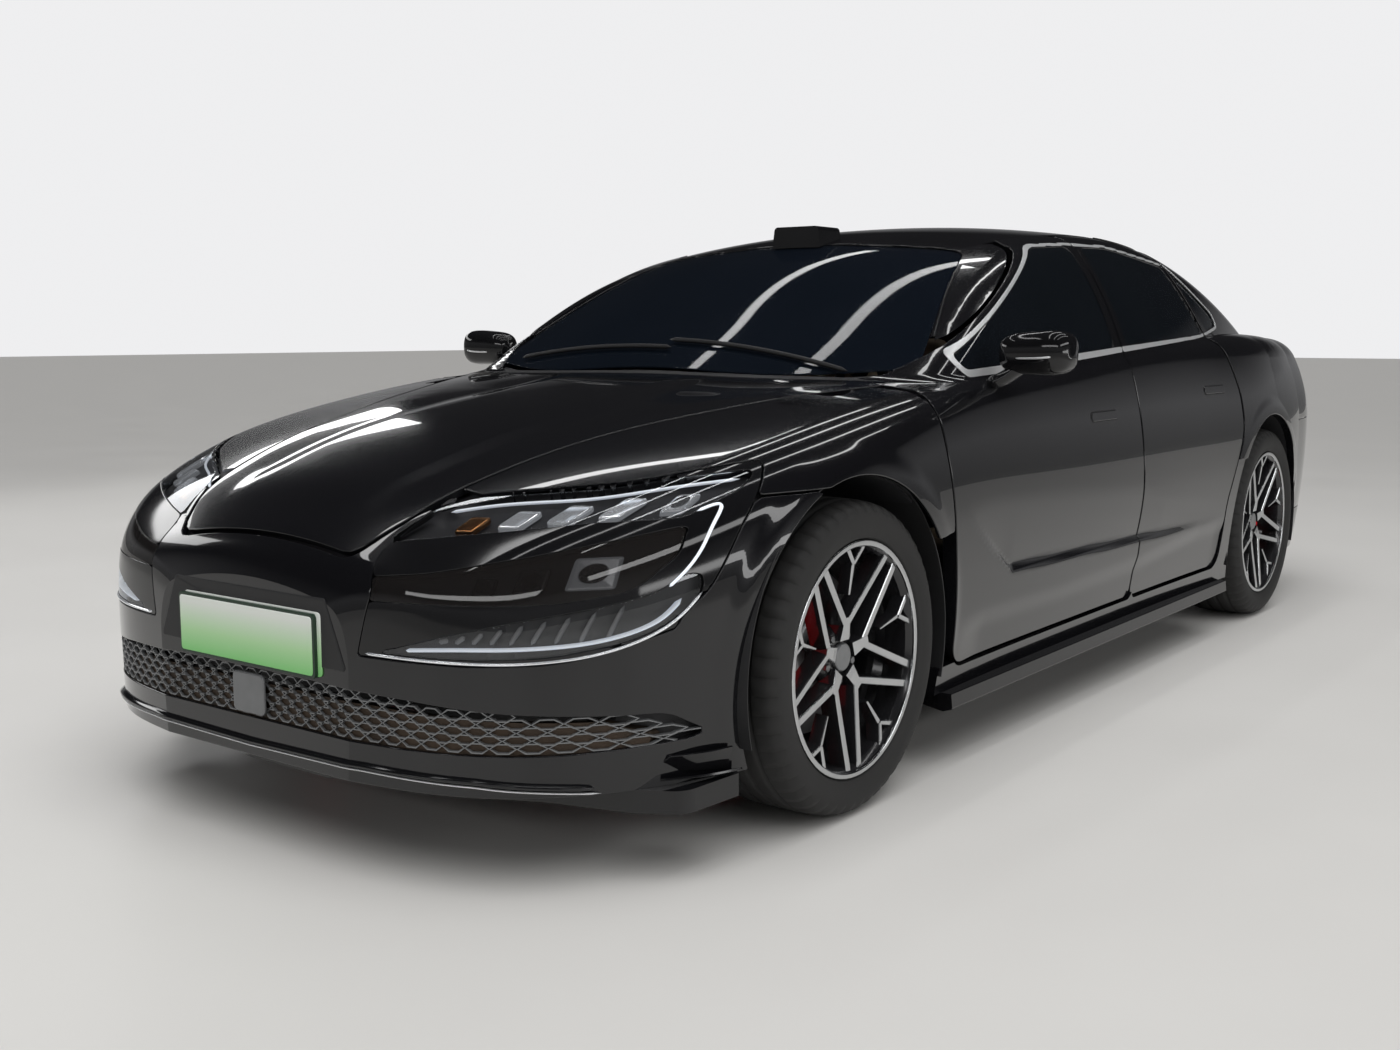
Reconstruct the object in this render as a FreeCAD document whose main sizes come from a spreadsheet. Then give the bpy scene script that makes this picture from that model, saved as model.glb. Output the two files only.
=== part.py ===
"""A full-size four-door sedan, built as its real panels and running gear.
+Z is up, -Y is forward and +X is the car's left.
The origin is on the ground, in the middle of the car's length."""
import FreeCAD, Part
import Sketcher
import math
import os

V = FreeCAD.Vector
doc = FreeCAD.newDocument("sedan")
sheet = doc.addObject("Spreadsheet::Sheet", "Sizes")

# Driving sizes, in mm and degrees: alias, value, meaning
SIZES = [
    ("wheelbase", 3125, "front axle to rear axle"),
    ("front_overhang", 980, "front axle to the number plate's face"),
    ("rear_overhang", 1115, "rear axle to the tail"),
    ("plate_stand", 15, "nose skin to the number plate's face"),
    ("body_width", 1988, "over the wheel arches, without mirrors"),
    ("roof_height", 1503, "ground to the top of the roof"),
    ("deck_height", 1150, "ground to the highest line of the lower body"),
    ("body_floor", 200, "ground to the lower edge of the body sides"),
    ("track", 1704, "between the tyres' middle planes"),
    ("tyre_radius", 372, "rolling radius"),
    ("tyre_width", 262, "tyre section"),
    ("rim_radius", 279, "rim flange"),
    ("arch_radius", 430, "wheel arch opening"),
    ("front_well_depth", 490, "front wheel well, inwards from the widest line"),
    ("rear_well_depth", 330, "rear wheel well, inwards from the widest line"),
    ("well_wall", 25, "inner wall of a rear wheel well"),
    ("skin", 28, "bonnet, wing, lid and bumper wall"),
    ("door_wall", 112, "whole door"),
    ("frame_wall", 46, "window frames, pillars and roof rails"),
    ("door_lip", 10, "outer layer of a door, over its seal"),
    ("shut_gap", 8, "gap round a door, bonnet or lid"),
    ("seal_gap", 14, "more room round a door, inside its outer layer"),
    ("panel_gap", 4, "gap between fixed panels"),
    ("pillar_depth", 50, "middle pillar, inside the doors"),
    ("glass_inset", 2, "windows below the frames' outer face"),
    ("glass_wall", 5, "window glass"),
    ("glass_seat", 16, "flange that a window is bonded to"),
    ("floor_top", 345, "ground to the cabin floor"),
    ("floor_under", 272, "ground to the underside of the cabin floor"),
    ("sill_inside", 745, "middle of the car to the inner face of a sill"),
    ("battery_under", 148, "ground to the battery's underside"),
    ("battery_length", 1960, "battery block"),
    ("battery_width", 1400, "battery block"),
    ("ground_clearance", 150, "ground to the skirts and the splitter"),
    ("bay_half_width", 430, "middle of the car to the wall of the front bay"),
    ("boot_half_width", 520, "middle of the car to the wall of the boot"),
    ("disc_radius", 195, "brake disc"),
    ("disc_wall", 32, "brake disc"),
    ("spindle_radius", 30, "wheel spindle"),
    ("kingpin_inset", 75, "tyre's middle plane to the steering axis"),
    ("carrier_radius", 20, "wheel carrier's upright"),
    ("carrier_height", 210, "wheel carrier's upright"),
    ("steer_radius", 182, "steering wheel, to the middle of its rim"),
    ("steer_grip", 15, "steering wheel rim's own radius"),
    ("steer_tilt", 24, "steering wheel's lean from upright, in degrees"),
    ("plate_width", 480, "number plate"),
    ("plate_height", 140, "number plate"),
    ("plate_middle", 474, "ground to the number plate's middle"),
    ("fit", 0.3, "clearance between pieces that seat on each other"),
]
for row, (alias, value, meaning) in enumerate(SIZES, start=1):
    sheet.set(f"A{row}", alias)
    sheet.set(f"B{row}", str(value))
    sheet.set(f"C{row}", meaning)
    sheet.setAlias(f"B{row}", alias)
doc.recompute()


class Size:
    """A value with the expression that gives it from the sheet, so that an object's size can be bound to it."""

    def __init__(self, text, value):
        self.text = text
        self.value = float(value)

    @staticmethod
    def of(other):
        return other if isinstance(other, Size) else Size(repr(float(other)), other)

    def __add__(self, other):
        return Size(f"({self.text} + {Size.of(other).text})", self.value + Size.of(other).value)

    def __sub__(self, other):
        return Size(f"({self.text} - {Size.of(other).text})", self.value - Size.of(other).value)

    def __rsub__(self, other):
        return Size.of(other) - self

    def __mul__(self, other):
        return Size(f"({self.text} * {Size.of(other).text})", self.value * Size.of(other).value)

    def __truediv__(self, other):
        return Size(f"({self.text} / {Size.of(other).text})", self.value / Size.of(other).value)

    def __neg__(self):
        return Size(f"(0 - {self.text})", -self.value)

    __radd__ = __add__
    __rmul__ = __mul__
    __float__ = lambda self: self.value


S = {alias: Size(f"Sizes.{alias}", getattr(sheet, alias)) for alias, value, meaning in SIZES}
N = {alias: size.value for alias, size in S.items()}

LENGTH = S["front_overhang"] + S["wheelbase"] + S["rear_overhang"]
FRONT_AXLE = S["front_overhang"] - LENGTH / 2
REAR_AXLE = FRONT_AXLE + S["wheelbase"]
Y_FRONT = -LENGTH.value / 2
Y_NOSE = Y_FRONT + N["plate_stand"]
Y_TAIL = LENGTH.value / 2
HALF = N["body_width"] / 2
WHEEL_X = S["track"] / 2
FAR = 3 * HALF


def steps(share, marks):
    """The place at a share: 0 is the first mark, 1 the second and so on, in straight steps between."""
    first = min(int(share), len(marks) - 2)
    return marks[first] + (share - first) * (marks[first + 1] - marks[first])


def along(share):
    """Place along the car: 0 nose, 1 front axle, 2 rear axle, 3 tail."""
    return steps(share, (Y_NOSE, FRONT_AXLE.value, REAR_AXLE.value, Y_TAIL))


def up(share):
    """Height: 0 ground, 1 lower edge of the body sides, 2 highest line of the lower body, 3 top of the roof."""
    return steps(share, (0, N["body_floor"], N["deck_height"], N["roof_height"]))


# Cross sections of the lower body. The columns are: along; side_in, from half the body width in to the
# section's widest line; widest, its height above body_floor; radii of the flank below it, the side above it,
# the shoulder and the deck; deck_drop, from deck_height down to the middle of the deck.
LOWER = [
    (0.000, 664, 240, 3000, 220, 80, 1100, 550),
    (0.016, 569, 245, 3000, 260, 90, 1300, 502),
    (0.057, 419, 255, 3000, 330, 100, 1700, 447),
    (0.150, 272, 280, 3000, 450, 120, 2400, 385),
    (0.306, 148, 310, 3000, 600, 140, 3600, 324),
    (0.492, 68, 340, 3000, 750, 150, 5000, 274),
    (0.720, 18, 370, 3000, 850, 150, 7000, 230),
    (1.000, 0, 400, 3000, 900, 150, 9000, 188),
    (1.144, 9, 420, 2500, 1100, 110, 10000, 132),
    (1.362, 19, 400, 2200, 1300, 80, 7000, 75),
    (1.618, 19, 400, 2200, 1300, 80, 6000, 20),
    (1.842, 9, 420, 2500, 1200, 110, 7000, 0),
    (2.004, 0, 460, 3000, 1000, 140, 9000, 0),
    (2.453, 34, 500, 3000, 800, 130, 8000, 15),
    (2.722, 104, 520, 3000, 600, 110, 5000, 40),
    (2.883, 199, 520, 3000, 500, 80, 3000, 70),
    (2.973, 314, 500, 3000, 400, 70, 2000, 140),
    (3.000, 434, 480, 3000, 300, 60, 1500, 250),
]
# Cross sections of the upper body: along; side_in; widest, above body_floor; radii of the side glass, the roof
# rail and the roof; roof_drop, from roof_height; hollow_drop, from deck_height to the foot of the hollow inside.
UPPER = [
    (1.058, 89, 400, 1150, 120, 2600, 643, 710),
    (1.128, 79, 420, 1150, 130, 3000, 498, 520),
    (1.224, 62, 440, 1180, 140, 3400, 333, 320),
    (1.387, 50, 450, 1230, 150, 3600, 103, 250),
    (1.522, 46, 450, 1250, 160, 3800, 28, 225),
    (1.675, 49, 450, 1250, 170, 3800, 0, 205),
    (1.842, 65, 450, 1250, 170, 3600, 36, 200),
    (2.004, 104, 450, 1200, 160, 3000, 160, 200),
    (2.453, 180, 450, 1150, 140, 2400, 337, 230),
    (2.812, 254, 450, 1000, 120, 2000, 500, 400),
]
UPPER_FOOT = 710
SMALLEST_SHOULDER = 20


def station(share, side_in, widest, flank, side, shoulder, deck, top):
    """One cross section as named sizes in mm."""
    return dict(y=along(share), half=HALF - side_in, widest=N["body_floor"] + widest,
                flank=flank, side=side, shoulder=shoulder, deck=deck, top=top)


def inset(stations, wall):
    """The stations of the same body, a wall thickness further in, measured square to the skin."""
    inner = []
    for i, here in enumerate(stations):
        ahead, behind = stations[max(i - 1, 0)], stations[min(i + 1, len(stations) - 1)]
        slope = (behind["half"] - ahead["half"]) / (behind["y"] - ahead["y"])
        square = 1 / math.sqrt(1 + slope * slope)
        step = dict(here, y=here["y"] + wall * slope * square)
        for key in ("half", "flank", "side", "deck", "top"):
            step[key] = here[key] - wall * square
        step["shoulder"] = max(here["shoulder"] - wall * square, SMALLEST_SHOULDER)
        inner.append(step)
    return inner


def arc(centre, radius, start, end):
    """An arc across the car, from one angle to another, as one cubic span."""
    pull = 4 / 3 * math.tan((end - start) / 4) * radius
    first, last = [centre + V(radius * math.cos(a), 0, radius * math.sin(a)) for a in (start, end)]
    leaving, arriving = [V(-math.sin(a), 0, math.cos(a)) * pull for a in (start, end)]
    curve = Part.BezierCurve()
    curve.setPoles([first, first + leaving, last - arriving, last])
    return curve.toBSpline().toShape()


def shoulder_centre(side_c, deck_c, side_reach, deck_reach):
    """The point as far from the side's centre and the deck's centre as its arc needs to touch both."""
    span = deck_c - side_c
    near = (side_reach ** 2 - deck_reach ** 2 + span.Length ** 2) / (2 * span.Length)
    off = math.sqrt(max(side_reach ** 2 - near ** 2, 0))
    way = span.normalize()
    across = V(way.z, 0, -way.x)
    return max((side_c + way * near + across * s * off for s in (1, -1)), key=lambda p: p.x + p.z)


def section(here, foot, with_flank):
    """A closed section of tangent arcs, up one side, over the deck and down the other, with a flat foot."""
    y, widest = here["y"], here["widest"]
    side_c = V(here["half"] - here["side"], y, widest)
    flank_c = V(here["half"] - here["flank"], y, widest)
    deck_c = V(0, y, here["top"] - here["deck"])
    shoulder_c = shoulder_centre(side_c, deck_c, here["side"] - here["shoulder"],
                                 here["deck"] - here["shoulder"])
    side_end = math.atan2(shoulder_c.z - side_c.z, shoulder_c.x - side_c.x)
    deck_end = math.atan2(shoulder_c.z - deck_c.z, shoulder_c.x - deck_c.x)
    side_start = 0 if with_flank else math.asin((foot - widest) / here["side"])
    half = [arc(side_c, here["side"], side_start, side_end),
            arc(shoulder_c, here["shoulder"], side_end, deck_end)]
    if with_flank:
        half.insert(0, arc(flank_c, here["flank"], math.asin((foot - widest) / here["flank"]), 0))
    deck = arc(deck_c, here["deck"], deck_end, math.pi - deck_end)
    other = [edge.mirror(V(0, 0, 0), V(1, 0, 0)) for edge in reversed(half)]
    lowest = min(half[0].Vertexes, key=lambda v: v.Z).Point
    ends = [V(-lowest.x, y, lowest.z), lowest]
    return Part.Wire(Part.__sortEdges__(half + [deck] + other + [Part.LineSegment(*ends).toShape()]))


def loft(wires):
    """A smooth solid through closed sections."""
    return Part.makeLoft(wires, True, False, False, 3)


def lower_body(wall=0, foot=None, first=0, last=3):
    """The lower body as a solid, a wall thickness inside its skin, between two places along the car."""
    stations = [station(*row[:7], N["deck_height"] - row[7]) for row in LOWER if first <= row[0] <= last]
    foot = N["body_floor"] if foot is None else foot
    return loft([section(s, foot, True) for s in inset(stations, wall)])


def upper_body(wall=0, hollow=False):
    """The upper body as a solid. A hollow starts higher, just under the deck."""
    wires = []
    rows = [station(*row[:3], 0, *row[3:6], N["roof_height"] - row[6]) for row in UPPER]
    for row, here in zip(UPPER, inset(rows, wall)):
        foot = N["deck_height"] - (row[7] if hollow else UPPER_FOOT)
        wires.append(section(here, foot, False))
    return loft(wires)


def rounded(points, grow=0):
    """Corners (u, v, radius), anticlockwise, as a closed chain of straight runs and corner arcs.
    grow moves every run outwards."""
    count = len(points)
    corners = []
    for i in range(count):
        (u0, v0, _), (u1, v1, radius), (u2, v2, _) = points[i - 1], points[i], points[(i + 1) % count]
        before, after = V(u1 - u0, v1 - v0, 0).normalize(), V(u2 - u1, v2 - v1, 0).normalize()
        out_before, out_after = V(before.y, -before.x, 0), V(after.y, -after.x, 0)
        turn = math.atan2(before.cross(after).z, before.dot(after))
        point = V(u1, v1, 0) + (out_before + out_after) * (grow / (1 + before.dot(after)))
        bend = max(radius + (grow if turn > 0 else -grow), 1)
        reach = bend * math.tan(abs(turn) / 2)
        inwards = (after - before).normalize()
        middle = point + inwards * (bend / math.cos(turn / 2) - bend)
        corners.append((point - before * reach, middle, point + after * reach))
    edges = []
    for i, (start, middle, end) in enumerate(corners):
        edges.append(Part.Arc(start, middle, end).toShape())
        edges.append(Part.LineSegment(end, corners[(i + 1) % count][0]).toShape())
    return Part.Wire(edges)


def prism(points, low, high, axis, grow=0):
    """An outline with rounded corners, carried straight along X (seen as y, z), Y (x, z) or Z (x, y)."""
    face = Part.Face(rounded(points, grow))
    turn = {"X": FreeCAD.Rotation(V(0, 1, 0), V(0, 0, 1), V(1, 0, 0), "ZXY"),
            "Y": FreeCAD.Rotation(V(1, 0, 0), V(0, 0, 1), V(0, -1, 0), "ZXY"),
            "Z": FreeCAD.Rotation()}[axis]
    way = {"X": V(1, 0, 0), "Y": V(0, 1, 0), "Z": V(0, 0, 1)}[axis]
    face.Placement = FreeCAD.Placement(way * low, turn)
    return face.extrude(way * (high - low))


def side_points(outline):
    """Corners given as (along, up, radius), in mm."""
    return [(along(k), up(h), r) for k, h, r in outline]


def box(x0, x1, y0, y1, z0, z1):
    """A plain block between two corners."""
    return Part.makeBox(x1 - x0, y1 - y0, z1 - z0, V(x0, y0, z0))


def rod(radius, x0, x1, y, z):
    """A round bar across the car."""
    return Part.makeCylinder(radius, x1 - x0, V(x0, y, z), V(1, 0, 0))


def mirrored(shape):
    """The same shape on the car's other side."""
    return shape.mirror(V(0, 0, 0), V(1, 0, 0))


def both(shape):
    """A left piece and its right twin, as two solids of one piece."""
    return Part.makeCompound(solids(shape) + solids(mirrored(shape)))


def solids(shape, least=2000):
    """The solids of a shape, without slivers under a least volume."""
    return [s for s in shape.Solids if s.Volume > least]


NODES = []


def feature(label, shape):
    """A shape that is worked out from the sheet's sizes."""
    found = solids(shape)
    item = doc.addObject("Part::Feature", label)
    item.Label = label
    item.Shape = found[0] if len(found) == 1 else Part.makeCompound(found)
    return item


def keep(label, shape):
    """A sub-part whose shape is worked out from the sheet's sizes."""
    NODES.append(feature(label, shape))


def keep_group(label, items):
    """A sub-part made of several solids, each with its own place in the tree."""
    group = doc.addObject("Part::Compound", label)
    group.Label = label
    group.Links = items
    NODES.append(group)


def bind(item, **sizes):
    """Ties an object's properties to expressions on the sheet."""
    for name, size in sizes.items():
        item.setExpression(name.replace("__", "."), Size.of(size).text)


# Side outlines, as (along, up, corner radius), anticlockwise seen from the car's left with the nose at the left
FRONT_DOOR = side_points([(1.157, 1.067, 70), (1.565, 1.067, 30), (1.576, 1.884, 400), (1.582, 2.841, 20),
                          (1.480, 2.793, 500), (1.174, 1.855, 60), (1.134, 1.826, 60)])
REAR_DOOR = side_points([(1.568, 1.067, 30), (1.829, 1.067, 60), (1.837, 1.316, 200), (1.890, 1.589, 150),
                         (1.890, 1.737, 200), (1.875, 1.907, 60), (1.827, 2.742, 25), (1.675, 2.864, 600),
                         (1.585, 2.841, 20), (1.579, 1.884, 400)])
FRONT_WINDOW = side_points([(1.198, 1.865, 20), (1.559, 1.924, 25), (1.565, 2.717, 30), (1.474, 2.669, 300)])
REAR_WINDOW = side_points([(1.594, 1.932, 25), (1.862, 1.966, 20), (1.824, 2.601, 25), (1.675, 2.737, 600),
                           (1.596, 2.717, 30)])
QUARTER_WINDOW = side_points([(1.883, 1.977, 12), (1.958, 2.017, 25), (1.845, 2.572, 15)])

# Plan outlines, as (x, along, corner radius), anticlockwise seen from below the nose
def plan(outline):
    return [(x, along(k), r) for x, k, r in outline]


def mirrored_plan(half_outline):
    """A plan outline from its left half, listed from the front middle round to the rear middle."""
    left = plan(half_outline)
    return left + [(-x, y, r) for x, y, r in reversed(left)]


BONNET = mirrored_plan([(300, 0.043, 60), (430, 0.105, 300), (760, 0.620, 900), (800, 1.172, 40),
                        (430, 1.118, 900)])
WINDSCREEN = mirrored_plan([(430, 1.140, 900), (782, 1.195, 60), (575, 1.405, 60), (300, 1.393, 900)])
ROOF = mirrored_plan([(300, 1.399, 900), (570, 1.411, 60), (585, 1.600, 1500), (560, 1.876, 50),
                      (300, 1.890, 900)])
BACK_GLASS = mirrored_plan([(300, 1.896, 900), (556, 1.882, 60), (610, 2.500, 90)])
LID = mirrored_plan([(300, 2.560, 900), (640, 2.545, 60), (600, 3.100, 20)])

# Seen from the front: x, then up or the height above body_floor, then the corner's radius
HEADLAMP = [(361, 1.284, 10), (500, 1.280, 200), (715, 1.316, 300), (856, 1.371, 200), (1010, 1.463, 20),
            (1010, 1.705, 20), (930, 1.690, 60), (700, 1.630, 600), (405, 1.522, 10), (385, 1.420, 60)]
LAMP_BACK = [(-0.2, 1.1, 5), (0.340, 1.1, 5), (0.352, 1.368, 60), (0.372, 1.505, 200), (0.548, 1.688, 25),
             (0.4, 1.9, 5), (-0.2, 1.9, 5)]
GRILLE = [(-700, 32, 30), (700, 32, 30), (890, 100, 25), (800, 150, 30), (389, 166, 60), (-389, 166, 60),
          (-800, 150, 30), (-890, 100, 25)]

DOOR_IN, FIREWALL, BULKHEAD = N["door_wall"], along(1.202), along(1.925)
REARMOST, FOREMOST = Y_TAIL + 200, Y_NOSE - 200
TAIL_LAMP_BAND, TAIL_LAMP_DEPTH = (up(1.70), up(1.79)), 20
PLATE_WALL, BRACKET_HALF = 3, 235
LIDAR_TOP = N["roof_height"] - 38
MIRROR_X, MIRROR_Y, MIRROR_Z = 1035, along(1.268), up(1.935)
MIRROR = [(935, 1022, 20), (1100, 1018, 40), (1136, 1080, 40), (1108, 1136, 38), (950, 1130, 38)]
MIRROR_DEPTH = [(-85, 0.45), (-55, 0.85), (0, 1.0), (45, 0.98)]
MIRROR_ARM = [(860, 965, 8), (925, 968, 12), (1000, 1022, 12), (1000, 1050, 8), (945, 1050, 8), (870, 1000, 8)]
SPLITTER = [(150, 0.093, 60), (280, 0.140, 60), (470, 0.176, 200), (650, 0.264, 200), (830, 0.316, 80),
            (928, 0.373, 60), (940, 0.560, 10), (800, 0.560, 40), (700, 0.440, 200), (300, 0.300, 400)]
DIFFUSER = [(700, 2.400, 20), (902, 2.460, 20), (832, 2.722, 100), (738, 2.880, 100),
            (625, 2.966, 60), (500, 2.994, 60)]
SKIRT = [(150, 0, 2), (150, 30, 5), (40, 49, 6), (12, 40, 6), (16, 0, 2)]
UNIT_HALF, UNIT_LONG, UNIT_TALL = 290, 190, 210
DISC_AT, DISC_INNER, HAT_RADIUS, HUB_BACK, HUB_CAP = 44, 100, 110, 20, 34
CALIPER_SPAN, PIN, ARM_WALL = 56, 10, 30
DASH_HALF, DRIVER_X = 800, 370
GRILLE_SINK, GRILLE_DEPTH = 8, 14
LID_FOOT, BUMPER_TOP = up(1.805), up(1.589)
SHELF_HALF, SHELF_END = 640, along(2.56)
SHAFT_RADIUS, SHAFT_TUNNEL = 14, 30
BACK_GLASS_HALF, HINGE_ROOM = 560, 150
PAD_X, PAD_ALONG, PAD_HALF, PAD_LONG, PAD_STAND = 790, 850, 30, 40, 8
TOP = N["roof_height"] + 100


def between(y0, y1, z0=0, z1=TOP, x0=-FAR, x1=FAR):
    """Everything between two places along the car, and between two heights."""
    return box(x0, x1, y0, y1, z0, z1)


def grown_plan(points, low, high, grow=0):
    return prism(points, low, high, "Z", grow)


# Skins at their depths
outer_lower, outer_upper = lower_body(), upper_body()
inner_lower = lower_body(N["skin"], up(0.9))
core_lower = lower_body(N["skin"] + N["fit"], up(0.9))
cabin_lower = lower_body(DOOR_IN, up(0.9), 0.9, 2.6)
cabin_upper = upper_body(N["frame_wall"], True)
door_back = DOOR_IN + N["shut_gap"]
behind_lower = lower_body(door_back, up(0.9), 0.9, 2.6)
behind_upper = upper_body(N["frame_wall"] + N["shut_gap"], True)


def wheel_wells(extra=0, ends=((FRONT_AXLE, "front_well_depth"), (REAR_AXLE, "rear_well_depth"))):
    """The round wells of both sides; extra makes them larger all round."""
    wells = []
    for axle, depth in ends:
        inside = HALF - N[depth] - extra
        left = rod(N["arch_radius"] + extra, inside, FAR, axle.value, N["tyre_radius"])
        wells += [left, mirrored(left)]
    return Part.makeCompound(wells)


WELLS = wheel_wells()
whole = outer_lower.fuse(outer_upper)
cabin = cabin_lower.common(between(FIREWALL, BULKHEAD, N["floor_top"]))
cabin = cabin.fuse(cabin_upper.common(between(FIREWALL, BULKHEAD, N["floor_top"])))
cabin = cabin.cut(wheel_wells(N["well_wall"], ((REAR_AXLE, "rear_well_depth"),)))
ahead = cabin_upper.common(between(FOREMOST, FIREWALL)).cut(outer_lower)
rear_hollow = inner_lower.common(between(BULKHEAD, REARMOST))
rear_hollow = rear_hollow.fuse(cabin_upper.common(between(BULKHEAD, REARMOST)).cut(outer_lower))
monocoque = whole.common(between(FIREWALL, REARMOST)).cut(cabin).cut(rear_hollow).cut(WELLS)
scuttle = whole.common(between(along(1.08), FIREWALL, up(1.7))).cut(inner_lower).cut(ahead)


def door_opening(outline):
    """What a door leaves free in the body: its outline and the shut gap, down to behind the door."""
    hole = prism(outline, 0, FAR, "X", N["shut_gap"])
    return hole.cut(behind_lower).cut(behind_upper)


def door(outline, window):
    """A whole door wall, stepped in behind its outer lip, with its window cut and a seat for the glass."""
    shape = whole.common(prism(outline, N["sill_inside"] / 2, FAR, "X"))
    shape = shape.cut(cabin_lower).cut(cabin_upper).cut(beside_doors)
    ring = prism(outline, 0, FAR, "X", 1).cut(prism(outline, 0, FAR, "X", -N["seal_gap"]))
    shape = shape.cut(ring.common(lip_body))
    shape = shape.cut(prism(window, 0, FAR, "X"))
    shape = shape.cut(glass_rebate(prism(window, 0, FAR, "X", N["glass_seat"] + N["fit"])))
    return Part.makeCompound(solids(shape, 1e6))


screen_low, half_shut = N["deck_height"] - UPPER_FOOT, N["shut_gap"] / 2
beside_doors = [grown_plan(BONNET, up(1.3), TOP, half_shut + N["shut_gap"]),
                grown_plan(WINDSCREEN, screen_low, TOP, N["glass_seat"] + N["shut_gap"]),
                grown_plan(ROOF, up(1.8), TOP, N["glass_seat"] + N["shut_gap"]),
                box(-N["sill_inside"], N["sill_inside"] + N["shut_gap"], FRONT_AXLE.value, FIREWALL,
                    up(1.3), TOP)]
lip_body = lower_body(N["door_lip"], up(0.9), 0.9, 2.6).fuse(upper_body(N["door_lip"]))
glass_out = upper_body(N["glass_inset"])
glass_in = upper_body(N["glass_inset"] + N["glass_wall"])
glass_floor = upper_body(N["glass_inset"] + N["glass_wall"] + N["fit"])
glass_sheet = glass_out.cut(glass_in)


def glass_rebate(outline_prism):
    """The seat that a window needs in its frame."""
    return outline_prism.cut(glass_floor)


# Doors and side windows
front_door = door(FRONT_DOOR, FRONT_WINDOW)
rear_door = door(REAR_DOOR, REAR_WINDOW)
for side, turn in (("left", lambda s: s), ("right", mirrored)):
    keep(f"door_front_{side}", turn(front_door))
    keep(f"door_rear_{side}", turn(rear_door))
    for place, window in (("front", FRONT_WINDOW), ("rear", REAR_WINDOW)):
        pane = glass_sheet.common(prism(window, 0, FAR, "X", N["glass_seat"])).cut(beside_doors)
        keep(f"door_glass_{place}_{side}", turn(pane))
quarter_prism = prism(QUARTER_WINDOW, 0, FAR, "X", N["glass_seat"] - 6)
keep("quarter_glass", both(glass_sheet.common(quarter_prism)))

# Windscreen, roof and rear window
skin_fit = lower_body(-N["fit"])
sheet_above = glass_sheet.cut(skin_fit)
keep("windscreen", sheet_above.common(grown_plan(WINDSCREEN, screen_low, TOP, N["glass_seat"])))
keep("rear_window", sheet_above.common(grown_plan(BACK_GLASS, screen_low, TOP, N["glass_seat"])))
daylight = Part.makeCompound([grown_plan(p, screen_low, TOP) for p in (WINDSCREEN, BACK_GLASS)])
rebate = glass_rebate(Part.makeCompound(
    [grown_plan(p, screen_low, TOP, N["glass_seat"] + N["fit"]) for p in (WINDSCREEN, BACK_GLASS)]))
roof_shell = outer_upper.common(between(along(1.3), along(1.95), up(2))).cut(cabin_upper)
roof = roof_shell.common(grown_plan(ROOF, screen_low, TOP, N["glass_seat"])).cut(daylight).cut(rebate)
keep("roof_panel", roof)

# Side frames: sill, pillars, roof rail and rear quarter, in one piece a side
sill_x, rail_foot, gap = N["sill_inside"], up(1.85), N["panel_gap"]
lid_space = grown_plan(LID, LID_FOOT - half_shut, TOP, half_shut)
bonnet_space = grown_plan(BONNET, up(1.3), TOP, half_shut)
lamp_start, (lamp_low, lamp_high) = along(2.70), TAIL_LAMP_BAND
lamp_band = outer_lower.cut(lower_body(TAIL_LAMP_DEPTH)).common(between(lamp_start, REARMOST, lamp_low, lamp_high))
band_space = between(lamp_start - N["fit"], REARMOST, lamp_low - N["fit"], lamp_high + N["fit"])
band_space = band_space.cut(lower_body(TAIL_LAMP_DEPTH + N["fit"]))
wing_end = along(1.132)
side_region = box(sill_x, FAR, FIREWALL, REARMOST, 0, TOP)
side_region = side_region.fuse(box(0, FAR, FIREWALL, REARMOST, rail_foot, TOP))
side_region = side_region.fuse(box(0, FAR, along(2.2), REARMOST, LID_FOOT, TOP))
bumper_region = between(along(2.40), REARMOST, 0, BUMPER_TOP).fuse(
    between(along(2.40), REARMOST, 0, LID_FOOT, -sill_x + gap, sill_x - gap))
bumper_space = between(along(2.40) - gap, REARMOST, 0, BUMPER_TOP + gap)
side = monocoque.common(side_region)
shelf_side = SHELF_HALF + gap
side = side.cut(skin_fit.common(between(BULKHEAD, SHELF_END, rail_foot, TOP, -shelf_side, shelf_side)))
side = side.cut(between(along(2.45), SHELF_END, rail_foot, TOP, -BACK_GLASS_HALF, BACK_GLASS_HALF))
side = side.cut(Part.makeCompound([lid_space, bumper_space, band_space]))
pillar_foot = scuttle.common(box(sill_x + 15, FAR, wing_end, FIREWALL, 0, TOP)).cut(bonnet_space)
sill_end = whole.common(box(sill_x, FAR, wing_end, FIREWALL, 0, N["floor_under"] - N["fit"])).cut(WELLS)
side = side.fuse(pillar_foot).fuse(sill_end)
for place in (-PAD_ALONG, PAD_ALONG):
    side = side.fuse(box(PAD_X - PAD_HALF, PAD_X + PAD_HALF, place - PAD_LONG, place + PAD_LONG,
                         N["body_floor"] - PAD_STAND, N["body_floor"] + PAD_STAND))
side = side.cut(grown_plan(ROOF, up(2), TOP, N["glass_seat"] + N["fit"])).cut(daylight).cut(rebate)
side = side.cut(door_opening(FRONT_DOOR)).cut(door_opening(REAR_DOOR))
side = side.cut(prism(QUARTER_WINDOW, 0, FAR, "X"))
side = side.cut(glass_rebate(prism(QUARTER_WINDOW, 0, FAR, "X", N["glass_seat"] - 6 + N["fit"])))
middle_y = (along(1.552), along(1.594))
post_shell = behind_lower.fuse(behind_upper).cut(
    lower_body(door_back + N["pillar_depth"], up(0.9), 0.9, 2.6).fuse(
        upper_body(N["frame_wall"] + N["shut_gap"] + N["pillar_depth"], True)))
post = post_shell.common(box(0, FAR, *middle_y, N["floor_top"] - 5, up(2.80)))
post_head = cabin_upper.cut(upper_body(N["frame_wall"] + N["pillar_depth"], True))
post_head = post_head.common(box(N["bay_half_width"], FAR, *middle_y, up(2.79), up(2.95)))
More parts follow.
